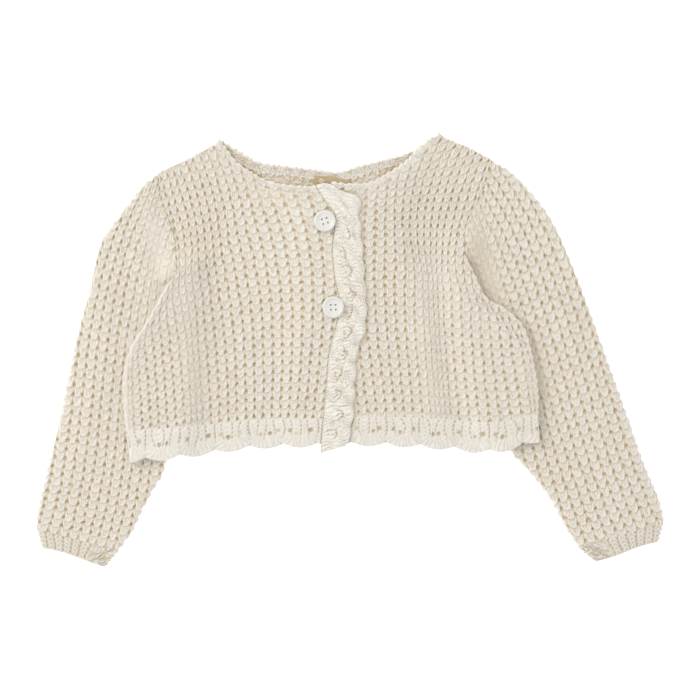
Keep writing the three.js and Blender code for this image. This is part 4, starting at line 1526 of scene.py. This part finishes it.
def add_stitch_map(mesh: Mesh) -> None:
    """Turns the counts kept on a mesh's points into its UV map."""
    counts = np.zeros((len(mesh.vertices), 2), np.float32)
    for k, name in enumerate(("count_s", "count_t")):
        part = np.zeros(len(mesh.vertices), np.float32)
        mesh.attributes[name].data.foreach_get("value", part)
        counts[:, k] = part
    corners = np.zeros(len(mesh.loops), np.int32)
    mesh.loops.foreach_get("vertex_index", corners)
    layer = mesh.uv_layers.new(name="stitches")
    layer.uv.foreach_set("vector", counts[corners].ravel())
    for name in ("count_s", "count_t"):
        mesh.attributes.remove(mesh.attributes[name])


def plain_yarn(mesh: Mesh, depth: float = 0.0) -> None:
    """Gives a single strand the values that the yarn's material reads, with an amount of painted shade."""
    hollow_shade = mesh.attributes.new("hollow_shade", "FLOAT", "POINT")
    hollow_shade.data.foreach_set("value", [depth] * len(mesh.vertices))
    mesh.uv_layers.new(name="stitches")


@dataclass(frozen=True)
class Cut:
    """The flat size that a piece of cloth was knitted to, in millimetres and square ones."""

    width: float
    length: float
    area: float | None = None


def dress(
    name: str,
    mesh: Mesh,
    node: str | None,
    finish: Material,
) -> Object:
    """Puts a mesh in the scene as a piece of the garment.

    Args:
        name: Name of the piece.
        mesh: Its mesh, in place.
        node: The solid that it stands for, if any.
        finish: Its material.

    Returns:
        The piece.
    """
    piece = add(name, mesh)
    mesh.materials.append(finish)
    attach(piece, ROOT)
    if node:
        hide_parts(node)
    LOG.info("%s: %d faces", name, len(mesh.polygons))
    return piece


def sew(
    node: str,
    form: SheetForm | TubeForm,
    finish: Material,
    cut: Cut,
) -> None:
    """Builds a piece of cloth and lays it down.

    Args:
        node: The solid that it stands for.
        form: Its shape.
        finish: Its material.
        cut: Its flat size; not used.
    """
    name = f"{node}_cloth"
    dress(name, shell_mesh(name, form.skin()), node, finish)


def placed(face: Callable[[Array, Array], Face]) -> Relief:
    """A relief that depends on the place alone."""
    return lambda x, y, across, along: face(x, y)


def level(x: Array, y: Array) -> Array:
    """Nothing anywhere, as a height over the surface below or as a share."""
    return np.zeros_like(x)


# ---- Body ----


@dataclass
class Body:
    """The back and the two fronts, with the band under the opening."""

    finishes: Finishes
    plan: BodyPlan = field(default_factory=BodyPlan)
    back_cut: Cut = Cut(250, 176, 36000)
    right_cut: Cut = Cut(130, 172, 16600)
    left_cut: Cut = Cut(118, 171, 14200)
    band_cut: Cut = Cut(14, 138)

    def build(self) -> None:
        """Builds the four pieces."""
        self.back()
        self.right_front()
        self.left_front()
        self.under_band()

    def back(self) -> None:
        """The back, of which only a strip at the neck shows."""
        form = SheetForm(
            plan=self.plan.back().at,
            under=Drape.tuck,
            face=placed(neck_reverse),
            width=248,
            length=172,
            edges=Edges(end=SHOULDER),
            spacing=0.55,
            coarse=5,
            shown_from=0.86,
        )
        sew("back", form, self.finishes.knit, self.back_cut)

    def right_front(self) -> None:
        """The right front, which lies over the left one's band."""
        form = SheetForm(
            plan=self.plan.right_front().at,
            under=Drape.right_front,
            face=placed(RIGHT_FRONT_KNIT.face),
            width=118,
            length=160,
            edges=Edges(left=SIDE, right=LACED, start=GROWN, end=SHOULDER),
        )
        sew("front_right", form, self.finishes.knit, self.right_cut)

    def left_front(self) -> None:
        """The left front."""
        form = SheetForm(
            plan=self.plan.left_front().at,
            under=Drape.front,
            face=placed(left_front_face),
            width=112,
            length=158,
            edges=Edges(right=TURNED, start=GROWN, end=SHOULDER),
        )
        sew("front_left", form, self.finishes.knit, self.left_cut)

    def under_band(self) -> None:
        """The band along the left front's edge, hidden under the lace band."""
        form = SheetForm(
            plan=self.plan.under_band().at,
            under=Drape.front,
            face=lambda x, y, across, along: ribs(y, x, -0.3),
            width=UNDER_BAND_WIDTH,
            length=137,
            spacing=1.4,
        )
        sew("front_band_left", form, self.finishes.lace, self.band_cut)


def lace_shade(x: Array, y: Array) -> Array:
    """1 against the lace band's free edge, fading away from it."""
    return fall(x - opening_x(y) - lace_width(y) - 0.5, 3.5) * (0.75 + 0.25 * Wander(27, 9).at(x, y))


def left_front_face(x: Array, y: Array) -> Face:
    """The left front's knit, calmer and warmer in the shade of the lace band."""
    knit, shade = LEFT_FRONT_KNIT.face(x, y), lace_shade(x, y)
    hollow_shade = np.maximum(0.9 * knit.hollow_shade, 0.26 * shade)
    return replace(knit, height=knit.height * (1 - 0.6 * shade), hollow_shade=hollow_shade)


# Warm shade in the corners inside the neck.
NECK_SHADES = (
    Crease((-72, 118), (-69, 115), 0.25, 3.5),
    Crease((-63, 111), (-58, 107), 0.25, 4),
    Crease((22, 107), (30, 112), 0.2, 4),
)


def neck_reverse(x: Array, y: Array) -> Face:
    """The reverse of the knit, which shows inside the neck, in rows that follow the neck seam."""
    stitch = Knit.REVERSE.value
    drift = 0.09 * Wander(52, 12).at(x, y)
    knit = Knit.REVERSE.face(x / stitch.width + drift, (y - back_neck_y(x) + 0.8) / stitch.height - drift)
    above = np.maximum(y - np.where(x < TAPE_X, right_rim_y(x), left_rim_y(x)), 0)
    shade = 0.14 * fall(above, 5) + lift(NECK_SHADES, x, y)
    return replace(knit, hollow_shade=np.clip(0.9 * knit.hollow_shade + shade, 0, 0.7))


def ribs(across: Array, along: Array, offset: float) -> Face:
    """Plain ribs with their stitches, at an offset from the face."""
    stitch = Knit.RIB.value
    knit = Knit.RIB.face(across / stitch.width, along / stitch.height)
    return replace(knit, height=knit.height + offset, hollow_shade=knit.hollow_shade * 0.5)


# ---- Edgings ----


@dataclass(frozen=True)
class Cleft:
    """A sunken line in an edging, from one of its places to the next, with painted shade in it."""

    places: tuple[Point, ...]
    depth: float
    radius: float
    # how much painted shade shows in it
    shade_tint: float

    def carve(self, p: Array, q: Array) -> tuple[Array, Array]:
        """How deep the cleft is at a place, and how much painted shade shows there."""
        share = np.zeros_like(p)
        for start, end in zip(self.places, self.places[1:]):
            _, away = beside_line(p, q, start, end)
            share = np.maximum(share, np.clip(1 - (away / self.radius) ** 2, 0, 1))
        return share * self.depth, share * self.shade_tint


def carve(clefts: Sequence[Cleft], p: Array, q: Array) -> tuple[Array, Array]:
    """Depth and painted shade of several clefts together."""
    depth, shade_tint = np.zeros_like(p), np.zeros_like(p)
    for cleft in clefts:
        more, shade = cleft.carve(p, q)
        depth, shade_tint = np.maximum(depth, more), np.maximum(shade_tint, shade)
    return depth, shade_tint


@dataclass(frozen=True)
class HemEnds:
    """Ends of a hem edging: X on the seam, then X on the free edge."""

    start: Point
    end: Point
    last: Edge = FREE


@dataclass(frozen=True)
class Eyelet:
    """A small hole above a fan."""

    place: float  # across the scallop, from its middle
    size: float
    level: float  # share of the way down the edging


@dataclass
class Hems:
    """The scalloped edging round the hem, in three pieces."""

    finishes: Finishes
    ribs: int = 4
    rays: float = 6.2  # strands of a fan to each unit of angle
    fan_top: float = 0.5  # where the fans start, as a share of the way down
    depth: float = 18.0
    scallop: float = 1.5  # what the scallops add to its cut
    drawn: float = 18.5  # depth of the edging as its stitches are drawn
    fan_foot: float = 7.0  # how far above the fans their strands would meet
    eyelet_depth: float = 1.6
    eyelets: tuple[Eyelet, ...] = (
        Eyelet(-6.4, 0.8, 0.41),
        Eyelet(-2.2, 0.9, 0.5),
        Eyelet(2.4, 0.7, 0.47),
        Eyelet(6.6, 1.0, 0.4),
    )

    def build(self) -> None:
        """Builds the edging of the back and of both fronts."""
        outer_right, outer_left = (-134.0, -131.0), (112.3, 113.4)
        lace_foot = (float(opening_x(-41)) - GAP, float(opening_x(LACE_BOTTOM[0])) - GAP)
        under_start = (UNDER_BAND_FOOT, UNDER_BAND_FOOT)
        back, right = HemEnds(outer_right, outer_left), HemEnds(outer_right, lace_foot, LACED)
        left = HemEnds(under_start, outer_left)
        self.hem("hem_back", back, Drape.tuck, BACK_TRIM)
        self.hem("hem_front_right", right, Drape.right_front, TRIM_FINE)
        self.hem("hem_front_left", left, Drape.front, TRIM_FINE)

    def hem(self, node: str, ends: HemEnds, under: Height, spacing: float) -> None:
        """One piece of the edging.

        Args:
            node: The solid that it stands for.
            ends: Where it starts and ends.
            under: Height of its lower face.
            spacing: Spacing of the points of its upper face.
        """
        length = ends.end[1] - ends.start[1]

        def plan(across: Array, along: Array) -> tuple[Array, Array]:
            """Places from the free edge up to the seam, in rows along the hem."""
            u, v = along[:, None], across[None, :]
            seam = ends.start[0] + (ends.end[0] - ends.start[0]) * u
            edge = ends.start[1] + (ends.end[1] - ends.start[1]) * u
            swing = np.abs(np.sin(np.pi * (edge - SCALLOP_START) / SCALLOP_PITCH))
            low = hem_edge_y(edge) - SCALLOP_DEPTH * swing
            high = hem_seam_y(seam) - GAP
            return edge + (seam - edge) * v, low + (high - low) * v

        form = SheetForm(
            plan=plan,
            under=under,
            face=self.face,
            width=self.depth,
            length=length,
            edges=Edges(left=FREE, right=GROWN, start=FREE, end=ends.last),
            spacing=spacing,
            coarse=4,
        )
        cut = Cut(length, self.depth + self.scallop, length * self.depth)
        sew(node, form, self.finishes.lace, cut)

    def face(self, x: Array, y: Array, across: Array, along: Array) -> Face:
        """Ribs that open into fans over the scallops, and the eyelets above the fans, with painted shade
        in the fans' furrows, in the eyelets and beside the lace band.
        """
        down = 1 - across
        drift = 0.05 * Wander(91, 12).at(x, y)
        scallop = (x - SCALLOP_START) / SCALLOP_PITCH + drift
        middle = (scallop - np.floor(scallop) - 0.5) * SCALLOP_PITCH
        step = SCALLOP_PITCH / self.ribs
        fan = np.clip((down - self.fan_top + 0.05 * Wander(93, 7).at(x, y)) / 0.2, 0, 1)
        knit = ribs(middle / step * Knit.RIB.value.width, across * self.drawn, 0.1)
        below = (down - self.fan_top) * self.drawn + self.fan_foot
        ray = np.arctan2(middle, below) * self.rays + 0.12 * Wander(92, 6).at(x, y)
        pleat = 0.7 * np.sqrt(np.abs(np.cos(np.pi * ray))) - 0.45
        shell = -0.3 + 0.3 * np.cos(np.clip(middle / SCALLOP_PITCH, -0.5, 0.5) * np.pi) + pleat
        depth, shade_tint = np.zeros_like(x), np.zeros_like(x)
        for hole in self.eyelets:
            reach = 0.8 + 0.6 * hole.size
            aside, up = middle - hole.place, (down - hole.level) * self.drawn
            away = np.hypot(aside / reach, up / (reach * 1.2))
            share = np.clip(1.15 - away**2, 0, 1) * hole.size
            keep = 0.5 + 0.5 * np.sin(np.floor(scallop) * 2.3 + hole.place)
            depth = np.maximum(depth, share * self.eyelet_depth * keep)
            shade_tint = np.maximum(shade_tint, share * keep)
        height = 0.75 * knit.height * (1 - fan) + shell * fan - depth
        # painted shade in the fans' furrows and the eyelets, and beside the lace band
        hollow_shade = np.maximum(0.75 * knit.hollow_shade * (1 - fan) + np.clip(-pleat, 0, 1) * 0.5 * fan, shade_tint)
        beside = 0.2 * lace_shade(x, y) * (x > opening_x(y) + 4)
        return replace(knit, height=height, hollow_shade=np.maximum(hollow_shade, beside))


@dataclass
class LaceBand:
    """The openwork band on the right front's edge, with its small loop at the neck."""

    finishes: Finishes
    scallops: int = 12
    scallop_depth: float = 1.3
    motif: float = 12.3  # length of one repeat of the openwork
    ripple: float = 2.1  # pitch of the yarns that lie across the band
    crown: float = 2.6  # how far its top stands up beside the neck
    width: float = 17.0
    length: float = 158.0
    loop_place: tuple[float, float, float] = (-17.0, 101.2, 7.6)
    loop_radius: float = 1.0
    loop_yarn: float = 0.36  # radius of its yarn
    loop_tilt: float = 0.35
    cut: Cut = Cut(18, 160)
    clefts: tuple[Cleft, ...] = (
        Cleft(((3.2, 3.2), (5.4, 4.1), (7.6, 3.6), (10.4, 4.6)), 0.5, 0.6, 0.32),
        Cleft(((8.4, 3.0), (9.3, 0.8), (8.8, -1.0), (7.0, -2.6)), 0.9, 0.75, 0.55),
        Cleft(((5.6, 0.6), (6.6, -0.2)), 0.7, 0.7, 0.4),
        Cleft(((4.0, -4.6), (6.4, -4.0), (9.0, -4.9), (12.8, -5.4)), 0.5, 0.55, 0.3),
        Cleft(((11.8, 1.4), (13.4, 2.0)), 0.4, 0.5, 0.2),
    )

    def build(self) -> None:
        """Builds the band and its loop."""
        form = SheetForm(
            plan=self.plan,
            under=Drape.lace,
            face=self.face,
            width=self.width,
            length=self.length,
            edges=Edges(left=LACED, right=Edge(2.3), start=FREE, end=FREE),
            undercut=0.0,
            spacing=TRIM_FINE,
            coarse=4,
        )
        sew("front_band_right", form, self.finishes.lace, self.cut)
        self.loop()

    def plan(self, across: Array, along: Array) -> tuple[Array, Array]:
        """Places from the seam to the scalloped edge, in rows up the band."""
        u, v = across[None, :], along[:, None]
        at_seam = LACE_BOTTOM[0] + (LACE_TOP[0] - LACE_BOTTOM[0]) * v
        at_free = LACE_BOTTOM[1] + (LACE_TOP[1] - LACE_BOTTOM[1]) * v
        scallop = self.scallop_depth * (np.abs(np.sin(np.pi * self.scallops * v)) - 0.5)
        seam = opening_x(at_seam) + GAP
        free = opening_x(at_free) + lace_width(at_free) + scallop
        crown = self.crown * np.sin(np.pi * np.clip(u / 0.6, 0, 1)) * v**12
        return seam + (free - seam) * u, at_seam + (at_free - at_seam) * u + crown

    def face(self, x: Array, y: Array, across: Array, along: Array) -> Face:
        """Uneven ripples across the band, and the curled openwork down its middle, with painted shade in
        the ripples' troughs and the clefts.
        """
        p, q = across * self.width, along * self.length
        wave = 1.0 * Wander(61, 10).at(p, q * 0.8)
        turn = np.pi * (q + wave + 0.2 * p + 0.5 * np.sin(p * 0.8 + q * 0.5)) / self.ripple
        ripple = (np.sqrt(np.abs(np.sin(turn))) - 0.72) * (1.05 + 0.35 * Wander(62, 6).at(p, q))
        nubs = 0.2 * np.sin(2 * np.pi * p / 1.9 + 2 * np.floor(turn / np.pi)) * np.abs(np.sin(turn))
        repeat = (q - 3.0) / self.motif
        phase = np.floor(repeat)
        turned = np.where(np.sin(phase * 2.4 + 1) > 0, 1, -1)
        local = (repeat - phase - 0.5) * self.motif * turned
        sway = 1.4 * np.sin(phase * 1.9) + 0.6 * Wander(63, 6).at(p, q)
        depth, shade_tint = carve(self.clefts, p - sway, local + 0.8 * Wander(64, 5).at(p, q))
        present = fall(q - 138, 8) * (1 - fall(q - 4, 6)) * (0.8 + 0.2 * np.sin(phase * 3.1))
        height = ripple + nubs - 0.1 - depth * present
        # painted shade in the ripples' troughs and in the clefts
        hollow_shade = np.clip(-0.2 - ripple, 0, 1) * 0.4 + shade_tint * present
        return Face(height, np.clip(hollow_shade, 0, 1), 0 * p, turn * self.ripple / np.pi / 5)

    def loop(self) -> None:
        """The small loop of yarn at the band's top corner."""
        ring = bmesh.new()
        bmesh.ops.create_circle(ring, segments=10, radius=self.loop_yarn * MM)
        aside = Matrix.Translation((self.loop_radius * MM, 0, 0))
        bmesh.ops.transform(ring, matrix=aside, verts=ring.verts)
        bmesh.ops.rotate(ring, matrix=Matrix.Rotation(math.pi / 2, 3, "X"), verts=ring.verts)
        turn_round(ring, steps=20)
        place = Matrix.Translation([part * MM for part in self.loop_place])
        tilt = Matrix.Rotation(self.loop_tilt, 4, "X")
        bmesh.ops.transform(ring, matrix=place @ tilt, verts=ring.verts)
        mesh = finished(ring, "picot_loop")
        mesh.shade_smooth()
        plain_yarn(mesh)
        dress("picot_loop", mesh, None, self.finishes.lace)


@dataclass
class Neckbands:
    """The three bands round the neck."""

    finishes: Finishes
    width: float = 5.2
    strip: float = 10.0  # widest part of the strip before it is rolled in two
    unrolled: float = 8.8  # its mean width

    def build(self) -> None:
        """Builds the back's band and one on each front."""
        right_neck = NeckEdge(self.short(RIGHT_NECK.edge), self.short(RIGHT_NECK.seam))
        back = self.rolled(neck_reverse, 0.52)
        right, left = self.rolled(RIGHT_FRONT_KNIT.face), self.rolled(LEFT_FRONT_KNIT.face)
        self.band("neckband_back", BACK_NECK, level, back, 150)
        self.band("neckband_front_right", right_neck, Drape.right_front, right, 71)
        self.band("neckband_front_left", LEFT_NECK, Drape.front, left, 80)

    @staticmethod
    def short(points: Sequence[Point]) -> tuple[Point, ...]:
        """Points that end just short of the lace band."""
        return (*points[:-1], (points[-1][0] - 1.5 * GAP, points[-1][1]))

    def band(
        self, node: str, neck: NeckEdge, under: Height, face: Relief, length: float
    ) -> None:
        """One neckband.

        Args:
            node: The solid that it stands for.
            neck: Its two edges in plan.
            under: Height of its lower face.
            face: Its stitches.
            length: Its length.
        """
        low, high = Curve.through(neck.seam).beside(1.3 * GAP), Curve.through(neck.edge)
        first, last = low.path[0], low.path[-1]
        sheet = Patch(
            bottom=low,
            top=high,
            left=Curve.straight(tuple(first), tuple(high.path[0])),
            right=Curve.straight(tuple(last), tuple(high.path[-1])),
        )

        def plan(across: Array, along: Array) -> tuple[Array, Array]:
            """Places from the seam to the free edge, in rows along the band."""
            x, y = sheet.at(along, across)
            return x.T, y.T

        form = SheetForm(
            plan=plan,
            under=under,
            face=lambda x, y, across, along: face(x, y, across, along * length),
            width=self.width,
            length=length,
            edges=Edges(left=GROWN, right=Edge(1.3, bumps=0.4), start=FREE),
            spacing=TRIM_FINE,
            coarse=2.6,
        )
        cut = Cut(length, self.strip, length * self.unrolled)
        sew(node, form, self.finishes.rib, cut)

    @staticmethod
    def rim(x: Array, y: Array, across: Array, along: Array) -> Face:
        """Slanted stitches along the rolled edge, with painted shade between them."""
        turn = along / 4.5 + 0.9 * across + 0.2 * Wander(71, 9).at(x, y)
        ridge = np.sqrt(np.abs(np.cos(np.pi * turn)))
        strand = 0.16 * np.abs(np.cos(3 * np.pi * turn))
        return Face(0.75 * ridge + strand - 0.55, 0.25 * (1 - ridge) ** 2, 2 * across, turn)

    def rolled(self, knit: Callable[[Array, Array], Face], start: float = 0.3) -> Relief:
        """The knit beside the neck, run on into a band that ends in a rolled rim."""

        def face(x: Array, y: Array, across: Array, along: Array) -> Face:
            """Shape of the band's face."""
            below, rim = knit(x, y), self.rim(x, y, across, along)
            share = np.clip((across - start) / 0.2, 0, 1)
            return replace(
                rim,
                height=below.height + (rim.height - below.height) * share,
                hollow_shade=below.hollow_shade + (rim.hollow_shade - below.hollow_shade) * share,
            )

        return face


# ---- Sleeves ----


@dataclass
class Sleeve:
    """One sleeve and its cuff, each a flattened tube."""

    side: Side
    name: str
    knit: WaffleField
    finishes: Finishes
    width: float
    length: float
    cut: Cut
    cuff_width: float = 46
    cuff_length: float = 11.5
    cuff_ribs: int = 9
    ribbed: float = 0.66  # share of the cuff's width, from outside, before the ribs curl away

    def build(self) -> None:
        """Builds the sleeve and its cuff."""
        self.sleeve()
        self.cuff()

    def covered(self, x: Array, y: Array) -> Array:
        """1 where the body lies on the sleeve."""
        inside = self.side.inward * (x - x_by_y(self.side.side)(y))
        low = hem_edge_y(np.clip(x, -136, 114)) - 4
        return fall(2 - inside, 3) * fall(low - y, 3) * fall(y - self.side.underarm - 2, 4)

    def sleeve(self) -> None:
        """The sleeve, from the armhole to the cuff."""
        side = self.side
        sheet = Patch(
            left=Curve.through(side.outer),
            right=Curve.through(side.inner),
            bottom=Curve.through([*side.armhole[::-1], side.inner[0]]),
            top=Curve.straight(side.outer[-1], side.inner[-1]),
        )
        form = TubeForm(
            plan=sheet.at,
            puff=lambda x, y: Drape.puff(side, x, y),
            face=placed(self.knit.face),
            width=self.width,
            length=self.length,
            covered=self.covered,
            edges=Edges(left=RAGGED, right=RAGGED, end=GROWN),
        )
        sew(f"sleeve_{self.name}", form, self.finishes.knit, self.cut)

    def cuff(self) -> None:
        """The ribbed cuff."""
        step = -1.2 * GAP
        outer = (self.side.outer[-1][0], self.side.outer[-1][1] + step)
        inner = (self.side.inner[-1][0], self.side.inner[-1][1] + step)
        end = Curve.through(self.side.cuff_end)
        sheet = Patch(
            bottom=Curve.straight(outer, inner),
            top=end,
            left=Curve.straight(outer, tuple(end.path[0])),
            right=Curve.straight(inner, tuple(end.path[-1])),
        )
        form = TubeForm(
            plan=sheet.at,
            puff=level,
            face=self.cuff_face,
            edges=Edges(left=RAGGED, right=RAGGED, start=GROWN, end=FREE),
            width=self.cuff_width,
            length=self.cuff_length,
            covered=level,
            spacing=TRIM_FINE,
            coarse=3,
        )
        cut = Cut(2 * self.cuff_width, self.cuff_length + 1)
        sew(f"cuff_{self.name}", form, self.finishes.rib, cut)

    def cuff_face(self, x: Array, y: Array, across: Array, along: Array) -> Face:
        """Ribs with their stitches."""
        stitch = Knit.RIB.value
        s = across * self.cuff_ribs + 0.05 * Wander(81, 8).at(x, y)
        t = along * self.cuff_length / stitch.height
        knit = Knit.RIB.face(s, t)
        purl = Knit.REVERSE.face(0.6 * s + 0.2 * t, 0.36 * t + 0.12 * Wander(82, 6).at(x, y))
        curled = np.clip((across - self.ribbed) / 0.12, 0, 1)
        return replace(
            knit,
            height=knit.height + 0.15 + (purl.height - knit.height) * curled,
            hollow_shade=knit.hollow_shade * 0.7 + (purl.hollow_shade - knit.hollow_shade * 0.7) * curled,
        )


# ---- Buttons and tape ----


@dataclass
class Button:
    """A four-hole button with a raised rim and a dished face, sewn on with thread."""

    name: str
    place: Point
    turn: float
    finishes: Finishes
    base: float = 8.9  # height of its back
    hole: float = 0.46
    spread: float = 2.05
    dish: float = 1.82  # height of the dished face over the button's back
    filled: float = 0.84  # how much of a hole's depth the thread fills
    profile: tuple[Point, ...] = (
        (0.0, 0.0),
        (4.4, 0.0),
        (5.7, 0.35),
        (6.35, 0.95),
        (6.5, 1.45),
        (6.38, 1.95),
        (6.0, 2.3),
        (5.5, 2.4),
        (5.0, 2.3),
        (4.7, 2.08),
        (4.3, 1.95),
        (2.6, 1.86),
        (0.0, 1.82),
    )

    def build(self) -> None:
        """Builds the button and its thread."""
        disc = self.disc()
        cutter = self.cutter()
        holes = disc.modifiers.new("holes", "BOOLEAN")
        holes.object = cutter
        holes.operation = "DIFFERENCE"
        holes.solver = "EXACT"
        graph = bpy.context.evaluated_depsgraph_get()
        mesh = bpy.data.meshes.new_from_object(disc.evaluated_get(graph))
        mesh.name = f"{self.name}_disc"
        for used in (disc, cutter):
            bpy.data.objects.remove(used)
        mesh.materials.clear()
        mesh.shade_smooth()
        mesh.set_sharp_from_angle(angle=math.radians(50))
        dress(f"{self.name}_disc", mesh, self.name, self.finishes.button)
        self.thread()

    def holes(self) -> list[Vector]:
        """Places of the four holes on the button's back."""
        angles = [math.pi / 4 + quarter * math.pi / 2 for quarter in range(4)]
        reach = self.spread * MM
        return [Vector((math.cos(a) * reach, math.sin(a) * reach, 0)) for a in angles]

    def frame(self) -> Matrix:
        """Where the button lies, and how it is turned."""
        spot = Vector((self.place[0] * MM, self.place[1] * MM, self.base * MM))
        return Matrix.Translation(spot) @ Matrix.Rotation(self.turn, 4, "Z")

    def in_place(self, shell: BMesh, name: str) -> Mesh:
        """Turns a bmesh into a mesh where the button lies."""
        bmesh.ops.transform(shell, matrix=self.frame(), verts=shell.verts)
        return finished(shell, name)

    def disc(self) -> Object:
        """The turned disc, before its holes."""
        shell = bmesh.new()
        rim = [shell.verts.new((r * MM, 0, z * MM)) for r, z in self.profile]
        for pair in zip(rim, rim[1:]):
            shell.edges.new(pair)
        turn_round(shell, steps=64)
        name = f"{self.name}_turned"
        return add(name, self.in_place(shell, name))

    def pins(self, segments: int, taper: float, height: float, middle: float) -> BMesh:
        """A pin in each hole.

        Args:
            segments: Sides of a pin.
            taper: Its radius at the top as a share of the one at its foot.
            height: Its height.
            middle: Height of its middle over the button's back.

        Returns:
            The four pins.
        """
        shell = bmesh.new()
        for place in self.holes():
            pin = bmesh.ops.create_cone(
                shell,
                cap_ends=True,
                segments=segments,
                radius1=self.hole * MM,
                radius2=self.hole * taper * MM,
                depth=height * MM,
            )["verts"]
            bmesh.ops.translate(shell, vec=place + Vector((0, 0, middle * MM)), verts=pin)
        return shell

    def cutter(self) -> Object:
        """Four pins that leave the holes."""
        name = f"{self.name}_pins"
        pins = self.pins(segments=20, taper=1.25, height=6, middle=0.9)
        return add(name, self.in_place(pins, name))

    def thread(self) -> None:
        """The thread that holds the button on, as it shows down the holes."""
        height = self.dish * self.filled
        pins = self.pins(segments=12, taper=0.8, height=height, middle=height / 2)
        bmesh.ops.recalc_face_normals(pins, faces=pins.faces)
        mesh = self.in_place(pins, f"{self.name}_thread")
        mesh.shade_smooth()
        # painted shade on the thread, down in the holes
        plain_yarn(mesh, 0.4)
        dress(f"{self.name}_thread", mesh, None, self.finishes.lace)


@dataclass
class NeckTape:
    """The short woven tape sewn inside the back of the neck."""

    finishes: Finishes
    thickness: float = 0.5
    slip: float = 2.4  # how far the top corner on the left has slipped down
    lift: float = 0.02  # how far it lies over the back
    cut: Cut = Cut(TAPE_WIDTH, TAPE_HEIGHT + 2.4)  # with its ends turned under

    def build(self) -> None:
        """Builds the tape."""
        tape = bmesh.new()
        bmesh.ops.create_grid(tape, x_segments=42, y_segments=14, size=0.5)
        for vert in tape.verts:
            x, y = vert.co.x, vert.co.y
            sag = 0.25 * math.sin(16 * x) + 0.1 * math.cos(14 * y + 3 * x)
            slip = self.slip * max(x, 0) * 2 * (y + 0.5)
            vert.co = (
                (TAPE_X + x * TAPE_WIDTH) * MM,
                (TAPE_Y + TAPE_HEIGHT * (y + 0.5) - slip) * MM,
                (LAYER + self.lift + max(sag, 0) * 0.5) * MM,
            )
        bmesh.ops.solidify(tape, geom=tape.faces, thickness=-self.thickness * MM)
        bmesh.ops.recalc_face_normals(tape, faces=tape.faces)
        mesh = finished(tape, "neck_tape_cloth")
        piece = dress("neck_tape_cloth", mesh, "neck_tape", self.finishes.tape)


# ---- Studio ----


@dataclass
class Studio:
    """The pale floor, the soft light and the camera straight above, in metres."""

    view: float = 0.42  # width of the floor in the camera's view
    lens: float = 120.0
    sensor: float = 36.0
    level: float = 0.003  # height at which the view has that width
    sky: float = 0.90
    key_power: float = 11.5
    key_size: float = 0.9
    key_place: tuple[float, float, float] = (-1.15, 0.75, 1.15)
    floor_reach: float = 6.0
    floor_drop: float = 0.0004  # how far the floor lies under the garment

    def build(self) -> None:
        """Builds the floor, the lights and the camera."""
        self.floor()
        self.light()
        self.camera()
        bpy.context.scene.view_settings.view_transform = "Standard"

    def floor(self) -> None:
        """A wide floor just under the garment."""
        sheet = bmesh.new()
        bmesh.ops.create_grid(sheet, x_segments=1, y_segments=1, size=self.floor_reach)
        bmesh.ops.translate(sheet, vec=(0, 0, -self.floor_drop), verts=sheet.verts)
        mesh = finished(sheet, "floor")
        mesh.materials.append(FloorFinish().material())
        floor = add("floor", mesh)

    def light(self) -> None:
        """An even white sky, and a large soft light from the upper left."""
        world = bpy.data.worlds.new("sky")
        world.use_nodes = True
        sky = world.node_tree.nodes["Background"]
        sky.inputs["Color"].default_value = (1, 1, 1, 1)
        sky.inputs["Strength"].default_value = self.sky
        bpy.context.scene.world = world
        lamp = bpy.data.lights.new("key", "AREA")
        lamp.energy = self.key_power
        lamp.size = self.key_size
        key = add("key", lamp)
        key.location = self.key_place
        key.rotation_euler = (-key.location).to_track_quat("-Z", "Y").to_euler()

    def camera(self) -> None:
        """The camera, looking straight down."""
        data = bpy.data.cameras.new("camera")
        data.lens = self.lens
        data.sensor_width = self.sensor
        data.clip_start, data.clip_end = 0.1, 20
        camera = add("camera", data)
        distance = self.view / 2 / (self.sensor / 2 / self.lens)
        camera.location = (0, 0, distance + self.level)
        bpy.context.scene.camera = camera


def main() -> None:
    """Builds the garment's pieces in order."""
    logging.basicConfig(level=logging.INFO, format="%(message)s")
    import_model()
    Studio().build()
    finishes = Finishes()
    Body(finishes).build()
    Sleeve(RIGHT, "right", RIGHT_SLEEVE_KNIT, finishes, 66, 226, Cut(148, 232, 27400)).build()
    Sleeve(LEFT, "left", LEFT_SLEEVE_KNIT, finishes, 70, 226, Cut(156, 236, 30500)).build()
    Hems(finishes).build()
    Neckbands(finishes).build()
    LaceBand(finishes).build()
    Button("button_upper", (-15, 77), 0.3, finishes).build()
    Button("button_lower", (-10, 25.5), 0.05, finishes).build()
    NeckTape(finishes).build()


if __name__ == "__main__":
    main()
